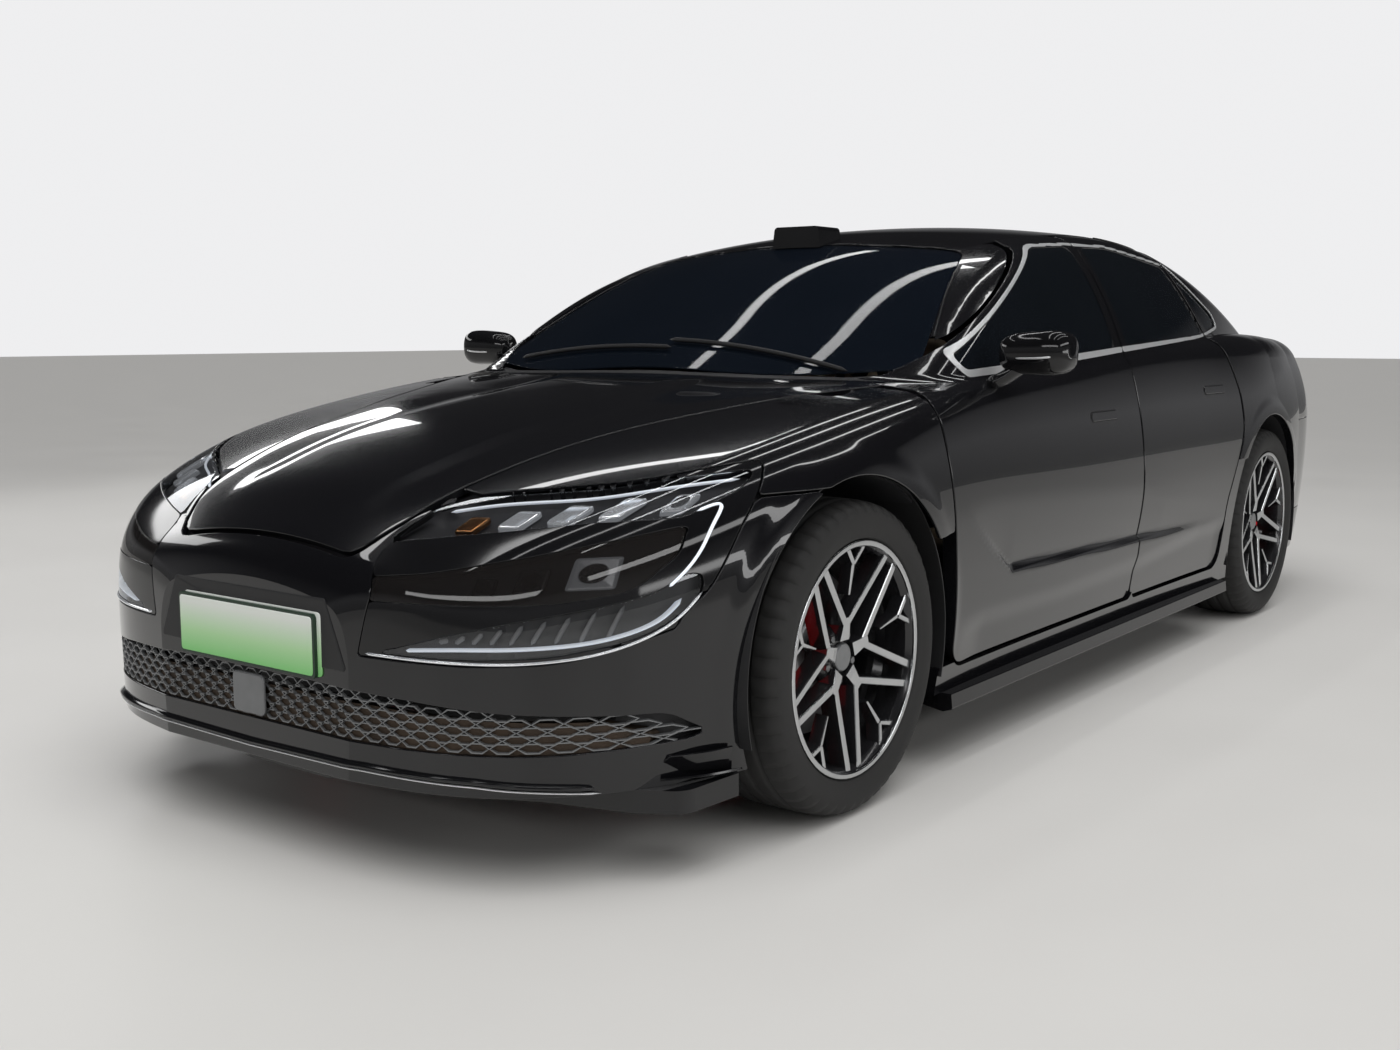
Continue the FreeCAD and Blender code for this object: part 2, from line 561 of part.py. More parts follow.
side = side.fuse(post).fuse(post_head)
keep("side_frame_left", Part.makeCompound(solids(side, 300000)))
keep("side_frame_right", mirrored(Part.makeCompound(solids(side, 300000))))

# Floor, firewall side structure and rear structure
floor = monocoque.common(box(-sill_x + N["fit"], sill_x - N["fit"], FIREWALL, BULKHEAD,
                             N["floor_under"], N["floor_top"] + 1))
keep("floor_pan", floor)


def shaft_tunnel(axle):
    """The way of both half shafts through the structure."""
    return rod(SHAFT_TUNNEL, -HALF, HALF, axle.value, N["tyre_radius"])


bay = box(-N["bay_half_width"], N["bay_half_width"], along(0.65), along(1.10), up(1.40), TOP)
front_motor_bay = box(-N["bay_half_width"], N["bay_half_width"], FRONT_AXLE.value - 260,
                      FRONT_AXLE.value + 260, 0, up(1.36))
nose_bay = box(-HALF * 0.87, HALF * 0.87, FOREMOST, along(0.30), 0, up(1.20))
front_core = core_lower.common(between(FOREMOST, FIREWALL - N["fit"], N["floor_under"], TOP))
front_core = front_core.cut([bay, front_motor_bay, nose_bay, shaft_tunnel(FRONT_AXLE), WELLS])
hinge_room = box(N["sill_inside"], FAR, along(1.133) - HINGE_ROOM, FIREWALL, 0, TOP)
for turn in (lambda s: s, mirrored):
    front_core = front_core.cut(turn(door_opening(FRONT_DOOR))).cut(turn(hinge_room))
keep("front_structure", Part.makeCompound(solids(front_core, 1e6)))
boot = box(-N["boot_half_width"], N["boot_half_width"], BULKHEAD + 60, along(2.90), up(1.35), TOP)
boot_mouth = grown_plan(LID, LID_FOOT - half_shut, TOP, -N["skin"])
rear_motor_bay = box(-N["bay_half_width"], N["bay_half_width"], REAR_AXLE.value - 230, REAR_AXLE.value + 230,
                     0, up(1.31))
rear_core = core_lower.common(between(BULKHEAD + N["fit"], REARMOST, N["floor_under"], TOP))
rear_core = rear_core.cut([boot, boot_mouth, rear_motor_bay, shaft_tunnel(REAR_AXLE), WELLS])
rear_core = rear_core.cut(cabin_upper.cut(core_lower))
shelf = outer_lower.cut(inner_lower).cut(lid_space)
shelf = shelf.common(between(BULKHEAD + N["fit"], SHELF_END, rail_foot, TOP, -SHELF_HALF, SHELF_HALF))
keep("rear_structure", Part.makeCompound(solids(rear_core, 1e6) + solids(shelf, 1e6)))
cowl = scuttle.common(box(-sill_x, sill_x, along(1.08), FIREWALL - N["fit"], 0, TOP))
cowl = cowl.cut(bonnet_space).cut(daylight).cut(rebate)
keep("cowl", Part.makeCompound(solids(cowl, 300000)))

# Bonnet, wings, lamps and bumpers
front_shell = outer_lower.common(between(FOREMOST, wing_end - gap)).cut(inner_lower).cut(WELLS)
keep("bonnet", outer_lower.cut(inner_lower).common(grown_plan(BONNET, up(1.3), TOP, -half_shut)))
lamp_points = [(x, up(h), r) for x, h, r in HEADLAMP]
lamp_space = prism(lamp_points, FOREMOST, along(0.56), "Y", N["fit"])
lamp = front_shell.common(prism(lamp_points, FOREMOST, along(0.56), "Y"))
lamp_back = prism(side_points(LAMP_BACK), 0, FAR, "X", N["fit"])
lamp = lamp.common(prism(side_points(LAMP_BACK), 0, FAR, "X")).cut(bonnet_space)
lamp_hole = lamp_space.common(lamp_back)
keep("headlamps", both(Part.makeCompound(solids(lamp, 100000))))
seam = up(1.61)
door_space = prism(FRONT_DOOR, 0, FAR, "X", N["shut_gap"])
wing = outer_lower.common(between(FOREMOST, FIREWALL)).cut(inner_lower).cut(WELLS).cut(door_space)
wing = wing.common(Part.makeCompound([
    box(0, FAR, FOREMOST, FRONT_AXLE.value, seam + gap, TOP),
    box(0, FAR, FRONT_AXLE.value, wing_end - gap, 0, TOP),
    box(0, FAR, wing_end - gap, FIREWALL, N["floor_under"], up(1.80))]))
cowl_space = box(-sill_x - gap, sill_x + gap, along(1.08) - gap, FIREWALL, up(1.3), TOP)
wing = wing.cut(bonnet_space).cut(lamp_hole).cut(cowl_space)
for side_name, turn in (("left", lambda s: s), ("right", mirrored)):
    keep(f"wing_{side_name}", turn(Part.makeCompound(solids(wing, 100000))))
grille_points = [(x, N["body_floor"] + h, r) for x, h, r in GRILLE]
nose = front_shell.common(between(FOREMOST, FRONT_AXLE.value, 0, seam)).cut(bonnet_space)
nose = nose.cut(lamp_hole).cut(mirrored(lamp_hole)).cut(prism(grille_points, FOREMOST, along(0.6), "Y"))
keep("front_bumper", Part.makeCompound(solids(nose, 300000)))
mesh = lower_body(GRILLE_SINK).cut(lower_body(GRILLE_SINK + GRILLE_DEPTH))
mesh = mesh.common(prism(grille_points, FOREMOST, along(0.6), "Y", -N["fit"]))
keep("lower_grille", mesh)
keep("boot_lid", outer_lower.cut(inner_lower).common(grown_plan(LID, LID_FOOT + half_shut, TOP, -half_shut)))
keep("tail_lamps", lamp_band.cut(lid_space))
tail = outer_lower.cut(inner_lower).common(bumper_region).cut(WELLS).cut(band_space).cut(lid_space)
keep("rear_bumper", Part.makeCompound(solids(tail, 300000)))

# Nose and underside trim
plate_y = Y_FRONT + PLATE_WALL
low, high, narrow = N["plate_middle"] - 50, N["plate_middle"] + 60, BRACKET_HALF - 70
bracket = prism([(-BRACKET_HALF, low, 8), (BRACKET_HALF, low, 8), (narrow, high, 8), (-narrow, high, 8)],
                plate_y - 1, Y_NOSE + 60, "Y").cut(skin_fit)
plate_half = N["plate_width"] / 2
plate_z = (N["plate_middle"] - N["plate_height"] / 2, N["plate_middle"] + N["plate_height"] / 2)
plate = prism([(-plate_half, plate_z[0], 10), (plate_half, plate_z[0], 10), (plate_half, plate_z[1], 10),
               (-plate_half, plate_z[1], 10)], Y_FRONT, plate_y, "Y")
keep("number_plate", plate.fuse(bracket))
keep("front_splitter", grown_plan(mirrored_plan(SPLITTER), N["ground_clearance"], N["body_floor"] - N["fit"]))
skirt_top = N["body_floor"] - N["fit"]
skirt = prism([(HALF - x, skirt_top - z, r) for x, z, r in SKIRT], along(1.146), along(1.850), "Y")
keep("side_skirts", both(skirt.cut(WELLS)))
diffuser = grown_plan(mirrored_plan(DIFFUSER), skirt_top - 24, skirt_top)
for x in (-450, -150, 150, 450):
    fin = box(x - 6, x + 6, along(2.50), along(2.90), N["ground_clearance"], skirt_top - 10)
    diffuser = diffuser.fuse(fin)
keep("rear_diffuser", diffuser)
pod = prism([(-105, up(2.4), 5), (105, up(2.4), 5), (84, LIDAR_TOP, 14), (-84, LIDAR_TOP, 14)],
            along(1.383), along(1.425), "Y")
keep("lidar_pod", pod.cut(upper_body(-N["fit"])))

# Door mirrors
mirror_sections = []
for y_in, size in MIRROR_DEPTH:
    outline = [(MIRROR_X + (x - MIRROR_X) * size, MIRROR_Z + (z - MIRROR_Z) * size, r * size)
               for x, z, r in MIRROR]
    wire = rounded(outline)
    wire.Placement = FreeCAD.Placement(V(0, MIRROR_Y + y_in, 0), FreeCAD.Rotation(V(1, 0, 0), 90))
    mirror_sections.append(wire)
mirror = Part.makeLoft(mirror_sections, True, True)
arm = prism(MIRROR_ARM, MIRROR_Y - 40, MIRROR_Y + 20, "Y")
mirror = mirror.fuse(arm).cut(skin_fit).cut(upper_body(-N["fit"]))
for side_name, turn in (("left", lambda s: s), ("right", mirrored)):
    keep(f"mirror_{side_name}", turn(Part.makeCompound(solids(mirror, 100000))))


def bound_box(label, **sizes):
    """A block bound to the sheet: Length, Width, Height and the place of its lowest corner, X, Y and Z."""
    item = doc.addObject("Part::Box", label)
    item.Label = label
    for name, size in sizes.items():
        bind(item, **{f"Placement__Base__{name.lower()}" if name in "XYZ" else name: size})
    return item


# Battery and drive units
battery = bound_box("battery_pack", Length=S["battery_width"], Width=S["battery_length"],
                    Height=S["floor_under"] - S["fit"] - S["battery_under"], X=-S["battery_width"] / 2,
                    Y=(FRONT_AXLE + REAR_AXLE) / 2 - S["battery_length"] / 2, Z=S["battery_under"])
NODES.append(battery)
units = []
for name, axle in (("front", FRONT_AXLE), ("rear", REAR_AXLE)):
    unit = bound_box(f"{name}_motor", Length=2 * UNIT_HALF, Width=2 * UNIT_LONG, Height=UNIT_TALL,
                     X=-UNIT_HALF, Y=axle - UNIT_LONG, Z=S["floor_under"] + S["fit"])
    units.append(unit)
keep_group("drive_units", units)


# Wheels. Radii and offsets along the axle from the tyre's middle plane, outwards positive on the left.
def lathe(label, profile, x, y, z):
    """A body turned about the axle. The profile is corners (offset, radius), each bound to the sheet."""
    body = doc.addObject("PartDesign::Body", label)
    body.Label = label
    sketch = body.newObject("Sketcher::SketchObject", f"{label}_profile")
    sketch.AttachmentSupport = (next(f for f in body.Origin.OriginFeatures if f.Role == "XY_Plane"), "")
    sketch.MapMode = "FlatFace"
    corners = [(Size.of(u), Size.of(v)) for u, v in profile]
    count = len(corners)
    for i in range(count):
        (u0, v0), (u1, v1) = corners[i], corners[(i + 1) % count]
        sketch.addGeometry(Part.LineSegment(V(u0.value, v0.value, 0), V(u1.value, v1.value, 0)), False)
    for i in range(count):
        sketch.addConstraint(Sketcher.Constraint("Coincident", i, 2, (i + 1) % count, 1))
    for i, (u, v) in enumerate(corners):
        across = sketch.addConstraint(Sketcher.Constraint("DistanceX", -1, 1, i, 1, u.value))
        sketch.setExpression(f"Constraints[{across}]", u.text)
        outwards = sketch.addConstraint(Sketcher.Constraint("DistanceY", -1, 1, i, 1, v.value))
        sketch.setExpression(f"Constraints[{outwards}]", v.text)
    turned = body.newObject("PartDesign::Revolution", f"{label}_turned")
    turned.Profile = sketch
    turned.ReferenceAxis = (sketch, ["H_Axis"])
    turned.Angle = 360
    body.Tip = turned
    bind(body, Placement__Base__x=x, Placement__Base__y=y, Placement__Base__z=z)
    return body


tyre_half, tyre_r, rim_r = S["tyre_width"] / 2, S["tyre_radius"], S["rim_radius"]
seat_r = rim_r - 13 + S["fit"]
TYRE_PROFILE = [(-(tyre_half - 25), seat_r), (tyre_half - 25, seat_r), (tyre_half - 19, rim_r + 5),
                (tyre_half, rim_r + 43), (tyre_half - 7, tyre_r - 18), (tyre_half - 35, tyre_r - 3),
                (tyre_half - 91, tyre_r), (91 - tyre_half, tyre_r), (35 - tyre_half, tyre_r - 3),
                (7 - tyre_half, tyre_r - 18), (-tyre_half, rim_r + 43), (19 - tyre_half, rim_r + 5)]


def disc_profile(way):
    """Brake disc with its hat, seen with the outside of the wheel at +X (way 1) or -X (way -1)."""
    inner = S["spindle_radius"] + S["fit"]
    outer = S["disc_wall"] - DISC_AT
    corners = [(-DISC_AT, DISC_INNER), (-DISC_AT, S["disc_radius"]), (outer, S["disc_radius"]),
               (outer, HAT_RADIUS), (HUB_BACK - S["fit"], HAT_RADIUS),
               (HUB_BACK - S["fit"], inner), (HUB_BACK - 10, inner), (HUB_BACK - 10, DISC_INNER)]
    return [(Size.of(u) * way, v) for u, v in corners]


def turned_ring(points):
    """A ring from a closed profile of (offset, radius) corners, turned about the axle."""
    wire = Part.makePolygon([V(u, v, 0) for u, v in points + points[:1]])
    return Part.Face(wire).revolve(V(0, 0, 0), V(1, 0, 0), 360)


def bar(start, end, wide_start, wide_end):
    """A tapered bar of a spoke seen from the wheel's side: points (radius, angle in degrees)."""
    p, q = [V(0, r * math.cos(math.radians(a)), r * math.sin(math.radians(a))) for r, a in (start, end)]
    way = (q - p).normalize()
    off = V(0, -way.z, way.y)
    start_off, end_off = off * wide_start / 2, off * wide_end / 2
    corners = [p - start_off, q - end_off, q + end_off, p + start_off]
    return Part.Face(Part.makePolygon(corners + corners[:1])).extrude(V(160, 0, 0))


def rim():
    """A five-spoke rim, each spoke forked to the flange, with a small fork between neighbours."""
    flange = N["rim_radius"]
    barrel = turned_ring([(-121, flange), (-121, flange - 8), (-100, flange - 24), (-60, flange - 40),
                          (25, flange - 40), (45, flange - 27), (100, flange - 23), (121, flange - 9),
                          (121, flange), (112, flange), (109, flange - 13), (40, flange - 13),
                          (25, flange - 29), (-60, flange - 29), (-95, flange - 13), (-109, flange - 13),
                          (-112, flange)])
    layer = turned_ring([(HUB_BACK + 20, 0), (46, 60), (80, flange - 20), (112, flange - 20), (86, 60),
                         (74, 0)])
    spokes = []
    for i in range(5):
        at = 90 + 72 * i
        spokes.append(bar((40, at), (150, at), 44, 30))
        for way in (-1, 1):
            spokes.append(bar((140, at + way * 2), (flange - 18, at + way * 17), 22, 19))
            spokes.append(bar((214, at + 36), (flange - 18, at + 36 + way * 8), 15, 13))
            spokes.append(bar((196, at + way * 10), (218, at + way * 35.6), 14, 14))
    star = spokes[0].multiFuse(spokes[1:]).common(layer)
    hub = rod(78, HUB_BACK, 72, 0, 0).fuse(rod(HUB_CAP, 70, 80, 0, 0))
    shape = barrel.fuse(star).fuse(hub)
    return shape.cut(rod(N["spindle_radius"] + N["fit"], HUB_BACK - 1, HUB_BACK + 26, 0, 0))


def moved(shape, x, y, z):
    copy = shape.copy()
    copy.translate(V(x, y, z))
    return copy


left_rim = rim()
for corner, axle, way in (("front_left", FRONT_AXLE, 1), ("front_right", FRONT_AXLE, -1),
                          ("rear_left", REAR_AXLE, 1), ("rear_right", REAR_AXLE, -1)):
    place = (WHEEL_X * way, axle, S["tyre_radius"])
    NODES.append(lathe(f"tyre_{corner}", TYRE_PROFILE, *place))
    disc = lathe(f"disc_{corner}", disc_profile(way), *place)
    shape = moved(left_rim, WHEEL_X.value, axle.value, N["tyre_radius"])
    rim_part = feature(f"rim_{corner}", shape if way > 0 else mirrored(shape))
    keep_group(f"wheel_{corner}", [rim_part, disc])


# Wheel carriers, brakes and suspension
kingpin_x = WHEEL_X.value - N["kingpin_inset"]
hub_z, upright = N["tyre_radius"], N["carrier_height"]
arm_gap, pin_in = 5, 40
STEER_ROOM = 62


def carrier(axle, bores):
    """The upright, its bearing housing and the spindle that the wheel turns on."""
    shape = Part.makeCylinder(N["carrier_radius"], upright, V(kingpin_x, axle, hub_z - upright / 2))
    shape = shape.fuse(rod(46, kingpin_x - 32, kingpin_x + 23, axle, hub_z))
    shape = shape.fuse(rod(N["spindle_radius"], kingpin_x, WHEEL_X.value + HUB_BACK + 24, axle, hub_z))
    if bores:
        for z in (hub_z - upright / 2 - 1, hub_z + upright / 2 - pin_in - 5):
            shape = shape.cut(Part.makeCylinder(PIN + N["fit"], pin_in + 6, V(kingpin_x, axle, z)))
    return shape


def caliper(axle):
    """A fixed caliper: a sector over the disc, slotted for it, with its bracket to the carrier."""
    x = WHEEL_X.value
    corners = [V(-82, 0, 140), V(18, 0, 140), V(18, 0, 226), V(-82, 0, 226)]
    face = Part.Face(Part.makePolygon(corners + corners[:1]))
    sector = face.revolve(V(0, 0, 0), V(1, 0, 0), CALIPER_SPAN)
    sector.rotate(V(0, 0, 0), V(1, 0, 0), 90 - CALIPER_SPAN / 2)
    slot = rod(N["disc_radius"] + 6, -DISC_AT - 6, N["disc_wall"] - DISC_AT + 6, 0, 0)
    sector = sector.cut(slot).fuse(box(-82, -DISC_AT - 8, -150, -46 - N["fit"], -35, 35))
    return moved(sector, x, axle, hub_z)


def wishbone(axle, z, root_x, spread):
    """A flat arm from two inner bushes to the ball joint under or over the upright."""
    corners = [(root_x, axle - spread, 8), (kingpin_x + 24, axle - 24, 22), (kingpin_x + 24, axle + 24, 22),
               (root_x, axle + spread, 8), (root_x, axle + spread / 2, 8), (kingpin_x - 90, axle, 30),
               (root_x, axle - spread / 2, 8)]
    return grown_plan(corners, z, z + ARM_WALL)


def axle_set(axle, root_x, steered):
    """Subframe, arms and half shafts of one axle."""
    top = N["floor_under"]
    low = hub_z - upright / 2 - arm_gap - ARM_WALL
    high = hub_z + upright / 2 + arm_gap
    frame = box(-410, 410, axle - 210, axle + 210, low - 20, top).cut(
        box(-300, 300, axle - 150, axle + 150, 0, TOP))
    parts = [frame]
    for turn in (lambda s: s, mirrored):
        pieces = [wishbone(axle, low, 405, 180), wishbone(axle, high, root_x + N["fit"], 110)]
        pins = [Part.makeCylinder(PIN, arm_gap + pin_in, V(kingpin_x, axle, z))
                for z in (low + ARM_WALL, high - arm_gap - pin_in)]
        pieces = [pieces[0].fuse(pins[0]), pieces[1].fuse(pins[1])]
        if not steered:
            pieces = [pieces[0].fuse(carrier(axle, False)).fuse(pieces[1])]
        shaft_end = kingpin_x - (STEER_ROOM if steered else 30)
        pieces.append(rod(SHAFT_RADIUS, UNIT_HALF + N["fit"], shaft_end, axle, hub_z))
        parts += [turn(p) for p in pieces]
    shape = parts[0].multiFuse(parts[1:])
    return Part.makeCompound(solids(shape))


rear_caliper = both(caliper(REAR_AXLE.value))
keep("front_suspension", axle_set(FRONT_AXLE.value, HALF - N["front_well_depth"], True))
rear_axle_set = axle_set(REAR_AXLE.value, HALF - N["rear_well_depth"], False)
keep("rear_suspension", Part.makeCompound(rear_axle_set.Solids + rear_caliper.Solids))
knuckle = Part.makeCompound([carrier(FRONT_AXLE.value, True), caliper(FRONT_AXLE.value)])
for side_name, turn in (("left", lambda s: s), ("right", mirrored)):
    keep(f"knuckle_{side_name}", turn(knuckle))

# Cabin
dash = prism(side_points([(1.199, 1.42, 10), (1.300, 1.40, 40), (1.335, 1.60, 40), (1.322, 1.755, 30),
                          (1.199, 1.80, 10)]), -DASH_HALF, DASH_HALF, "X")
tilt = math.radians(N["steer_tilt"])
column = V(0, -math.cos(tilt), -math.sin(tilt))
wheel_at = V(DRIVER_X, along(1.375), up(1.74))
hub_back = wheel_at + column * 30
boss = Part.makeCylinder(34, 190, hub_back + column * N["fit"], column)
dash = dash.fuse(boss).common(cabin)
keep("dashboard", dash)
ring = Part.makeTorus(N["steer_radius"], N["steer_grip"], wheel_at, column)
hub = Part.makeCylinder(52, 45, wheel_at - column * 15, column)
across = FreeCAD.Rotation(V(0, 0, 1), column)
steering = ring.fuse(hub)
for spoke_x, spoke_y, wide, tall in ((-N["steer_radius"], -14, 2 * N["steer_radius"], 28),
                                     (-15, 0, 30, N["steer_radius"])):
    spoke = Part.makeBox(wide, tall, 14, V(spoke_x, spoke_y, -7))
    spoke.Placement = FreeCAD.Placement(wheel_at, across)
    steering = steering.fuse(spoke)
keep("steering_wheel", steering)


def seat(x0, x1, y0, heads):
    """Cushion, leaning back and head restraints, in one piece."""
    floor_z = N["floor_top"] + N["fit"]
    profile = [(y0, floor_z + 60, 30), (y0 + 520, floor_z + 40, 30), (y0 + 680, floor_z + 560, 22),
               (y0 + 600, floor_z + 600, 22), (y0 + 430, floor_z + 250, 90), (y0, floor_z + 270, 60)]
    shape = prism(profile, x0, x1, "X").fuse(box(x0 + 60, x1 - 60, y0 + 60, y0 + 460, floor_z, floor_z + 80))
    for x in heads:
        head = prism([(y0 + 600, floor_z + 610, 30), (y0 + 690, floor_z + 600, 40),
                      (y0 + 720, floor_z + 740, 40), (y0 + 640, floor_z + 760, 40)], x - 130, x + 130, "X")
        shape = shape.fuse(head).fuse(box(x - 60, x + 60, y0 + 625, y0 + 665, floor_z + 540, floor_z + 640))
    return shape


keep("front_seats", both(seat(DRIVER_X - 250, DRIVER_X + 250, along(1.43), [DRIVER_X])))
keep("rear_seat", seat(-600, 600, along(1.68), [-DRIVER_X, 0, DRIVER_X]).common(cabin))

doc.recompute()
for item in NODES:
    assert not {"Invalid", "Error"} & set(item.State), item.Label
    assert not item.Shape.isNull() and item.Shape.isValid(), item.Label
os.makedirs("parts", exist_ok=True)
for item in NODES:
    item.Shape.exportStep(f"parts/{item.Label}.step")
print(len(NODES), "pieces")
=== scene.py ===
import math

import bpy
import numpy as np
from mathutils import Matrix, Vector


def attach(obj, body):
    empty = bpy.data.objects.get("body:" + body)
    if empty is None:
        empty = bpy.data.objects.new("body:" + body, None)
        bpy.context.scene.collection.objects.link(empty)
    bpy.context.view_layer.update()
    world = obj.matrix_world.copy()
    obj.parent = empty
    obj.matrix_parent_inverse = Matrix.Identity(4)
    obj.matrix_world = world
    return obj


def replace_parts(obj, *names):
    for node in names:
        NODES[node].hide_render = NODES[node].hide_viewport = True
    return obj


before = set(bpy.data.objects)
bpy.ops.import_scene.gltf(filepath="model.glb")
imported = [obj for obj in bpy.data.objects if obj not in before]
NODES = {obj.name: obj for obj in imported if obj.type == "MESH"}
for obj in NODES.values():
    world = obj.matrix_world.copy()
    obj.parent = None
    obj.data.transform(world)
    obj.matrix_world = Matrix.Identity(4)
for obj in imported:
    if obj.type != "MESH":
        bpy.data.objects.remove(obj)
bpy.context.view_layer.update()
SIDES = (("left", 1), ("right", -1))


def added(name, data):
    """A new object of the given data, linked to the scene."""
    piece = bpy.data.objects.new(name, data)
    bpy.context.scene.collection.objects.link(piece)
    return piece


# Camera

camera = added("camera", bpy.data.cameras.new("camera"))
EYE, YAW, PITCH, LENS = (2.710, -4.547, 1.130), -0.646049, -0.130445, 38.15
looking = Vector((math.sin(YAW) * math.cos(PITCH), math.cos(YAW) * math.cos(PITCH), math.sin(PITCH)))
camera.location = EYE
camera.rotation_euler = looking.to_track_quat("-Z", "Y").to_euler()
camera.data.sensor_width, camera.data.lens, camera.data.clip_end = 36, LENS, 200
bpy.context.scene.camera = camera
bpy.context.scene.view_settings.view_transform = "Standard"


# Sizes, in metres, and places along the car and up

Y_NOSE, FRONT_AXLE, REAR_AXLE, Y_TAIL = -2.595, -1.630, 1.495, 2.610
FLOOR, DECK, ROOF_TOP = 0.200, 1.150, 1.503
HALF_WIDTH = 0.994
WHEEL_X, HUB_Z, ARCH, LINER = 0.852, 0.372, 0.430, 0.437
GAP, SHUT, FIT, LIFT = 0.004, 0.008, 0.001, 0.0025
MM = 1000


def along(share):
    """Place along the car: 0 nose, 1 front axle, 2 rear axle, 3 tail, in straight steps between."""
    return np.interp(share, (0, 1, 2, 3), (Y_NOSE, FRONT_AXLE, REAR_AXLE, Y_TAIL))


def up(share):
    """Height: 0 ground, 1 lower edge of the sides, 2 highest line of the lower body, 3 top of the roof."""
    return np.interp(share, (0, 1, 2, 3), (0, FLOOR, DECK, ROOF_TOP))


# Cross sections, in millimetres after the place along the car. Lower body: side in from the widest line;
# height of the widest line over the sides' lower edge; radii of flank, side, shoulder and deck; drop from the
# deck line. Upper body: the same without a flank, and the drop is from the roof.
LOWER = np.array([
    (0.000, 664, 240, 3000, 220, 80, 1100, 550), (0.016, 569, 245, 3000, 260, 90, 1300, 502),
    (0.057, 419, 255, 3000, 330, 100, 1700, 447), (0.150, 272, 280, 3000, 450, 120, 2400, 385),
    (0.306, 148, 310, 3000, 600, 140, 3600, 324), (0.492, 68, 340, 3000, 750, 150, 5000, 274),
    (0.720, 18, 370, 3000, 850, 150, 7000, 230), (1.000, 0, 400, 3000, 900, 150, 9000, 188),
    (1.144, 9, 420, 2500, 1100, 110, 10000, 132), (1.362, 19, 400, 2200, 1300, 80, 7000, 75),
    (1.618, 19, 400, 2200, 1300, 80, 6000, 20), (1.842, 9, 420, 2500, 1200, 110, 7000, 0),
    (2.004, 0, 460, 3000, 1000, 140, 9000, 0), (2.453, 34, 500, 3000, 800, 130, 8000, 15),
    (2.722, 104, 520, 3000, 600, 110, 5000, 40), (2.883, 199, 520, 3000, 500, 80, 3000, 70),
    (2.973, 314, 500, 3000, 400, 70, 2000, 140), (3.000, 434, 480, 3000, 300, 60, 1500, 250)])
UPPER = np.array([
    (1.058, 89, 400, 1150, 120, 2600, 643), (1.128, 79, 420, 1150, 130, 3000, 498),
    (1.224, 62, 440, 1180, 140, 3400, 333), (1.387, 50, 450, 1230, 150, 3600, 103),
    (1.522, 46, 450, 1250, 160, 3800, 28), (1.675, 49, 450, 1250, 170, 3800, 0),
    (1.842, 65, 450, 1250, 170, 3600, 36), (2.004, 104, 450, 1200, 160, 3000, 160),
    (2.453, 180, 450, 1150, 140, 2400, 337), (2.812, 254, 450, 1000, 120, 2000, 500)])
UPPER_FOOT, NO_FLANK = 0.440, 3.0


def spline(knots, rows):
    """Natural cubic through each column of rows, from the usual three-term system for its second
    derivatives."""
    count, step = len(knots), np.diff(knots)
    system, right = np.eye(count), np.zeros(rows.shape)
    i = np.arange(1, count - 1)
    system[i, i - 1], system[i, i], system[i, i + 1] = step[:-1], 2 * (step[:-1] + step[1:]), step[1:]
    right[1:-1] = 6 * np.diff(np.diff(rows, axis=0) / step[:, None], axis=0)
    bend = np.linalg.solve(system, right)

    def at(y):
        k = np.clip(np.searchsorted(knots, y) - 1, 0, count - 2)
        h, a, b = step[k][..., None], (knots[k + 1] - y)[..., None], (y - knots[k])[..., None]
        return (bend[k] * a ** 3 + bend[k + 1] * b ** 3) / (6 * h) + (rows[k] / h - bend[k] * h / 6) * a \
            + (rows[k + 1] / h - bend[k + 1] * h / 6) * b
    return at


def sizes_along(table, top):
    """Half width, widest height, radii and top of a section at any place along, as a spline of the table."""
    rows = table[:, 1:] / MM
    if rows.shape[1] == 6:
        rows = np.insert(rows, 2, NO_FLANK, axis=1)
    rows[:, 0] = HALF_WIDTH - rows[:, 0]
    rows[:, 1] = FLOOR + rows[:, 1]
    rows[:, 6] = top - rows[:, 6]
    return spline(along(table[:, 0]), rows)


LOWER_AT, UPPER_AT = sizes_along(LOWER, DECK), sizes_along(UPPER, ROOF_TOP)


def arcs(size):
    """Centres and end angles of a section's tangent arcs. The shoulder touches the side's arc and the
    deck's."""
    half, widest, flank, side, shoulder, deck, top = np.moveaxis(size, -1, 0)
    side_x, deck_z = half - side, top - deck
    across, rise = -side_x, deck_z - widest
    span = np.hypot(across, rise)
    side_reach, deck_reach = side - shoulder, deck - shoulder
    near = (side_reach ** 2 - deck_reach ** 2 + span ** 2) / (2 * span)
    off = np.sqrt(np.maximum(side_reach ** 2 - near ** 2, 0))
    ex, ez = across / span, rise / span
    x1, z1 = side_x + ex * near + ez * off, widest + ez * near - ex * off
    x2, z2 = side_x + ex * near - ez * off, widest + ez * near + ex * off
    first = x1 + z1 > x2 + z2
    cx, cz = np.where(first, x1, x2), np.where(first, z1, z2)
    return cx, cz, np.arctan2(cz - widest, cx - side_x), np.arctan2(cz - deck_z, cx)


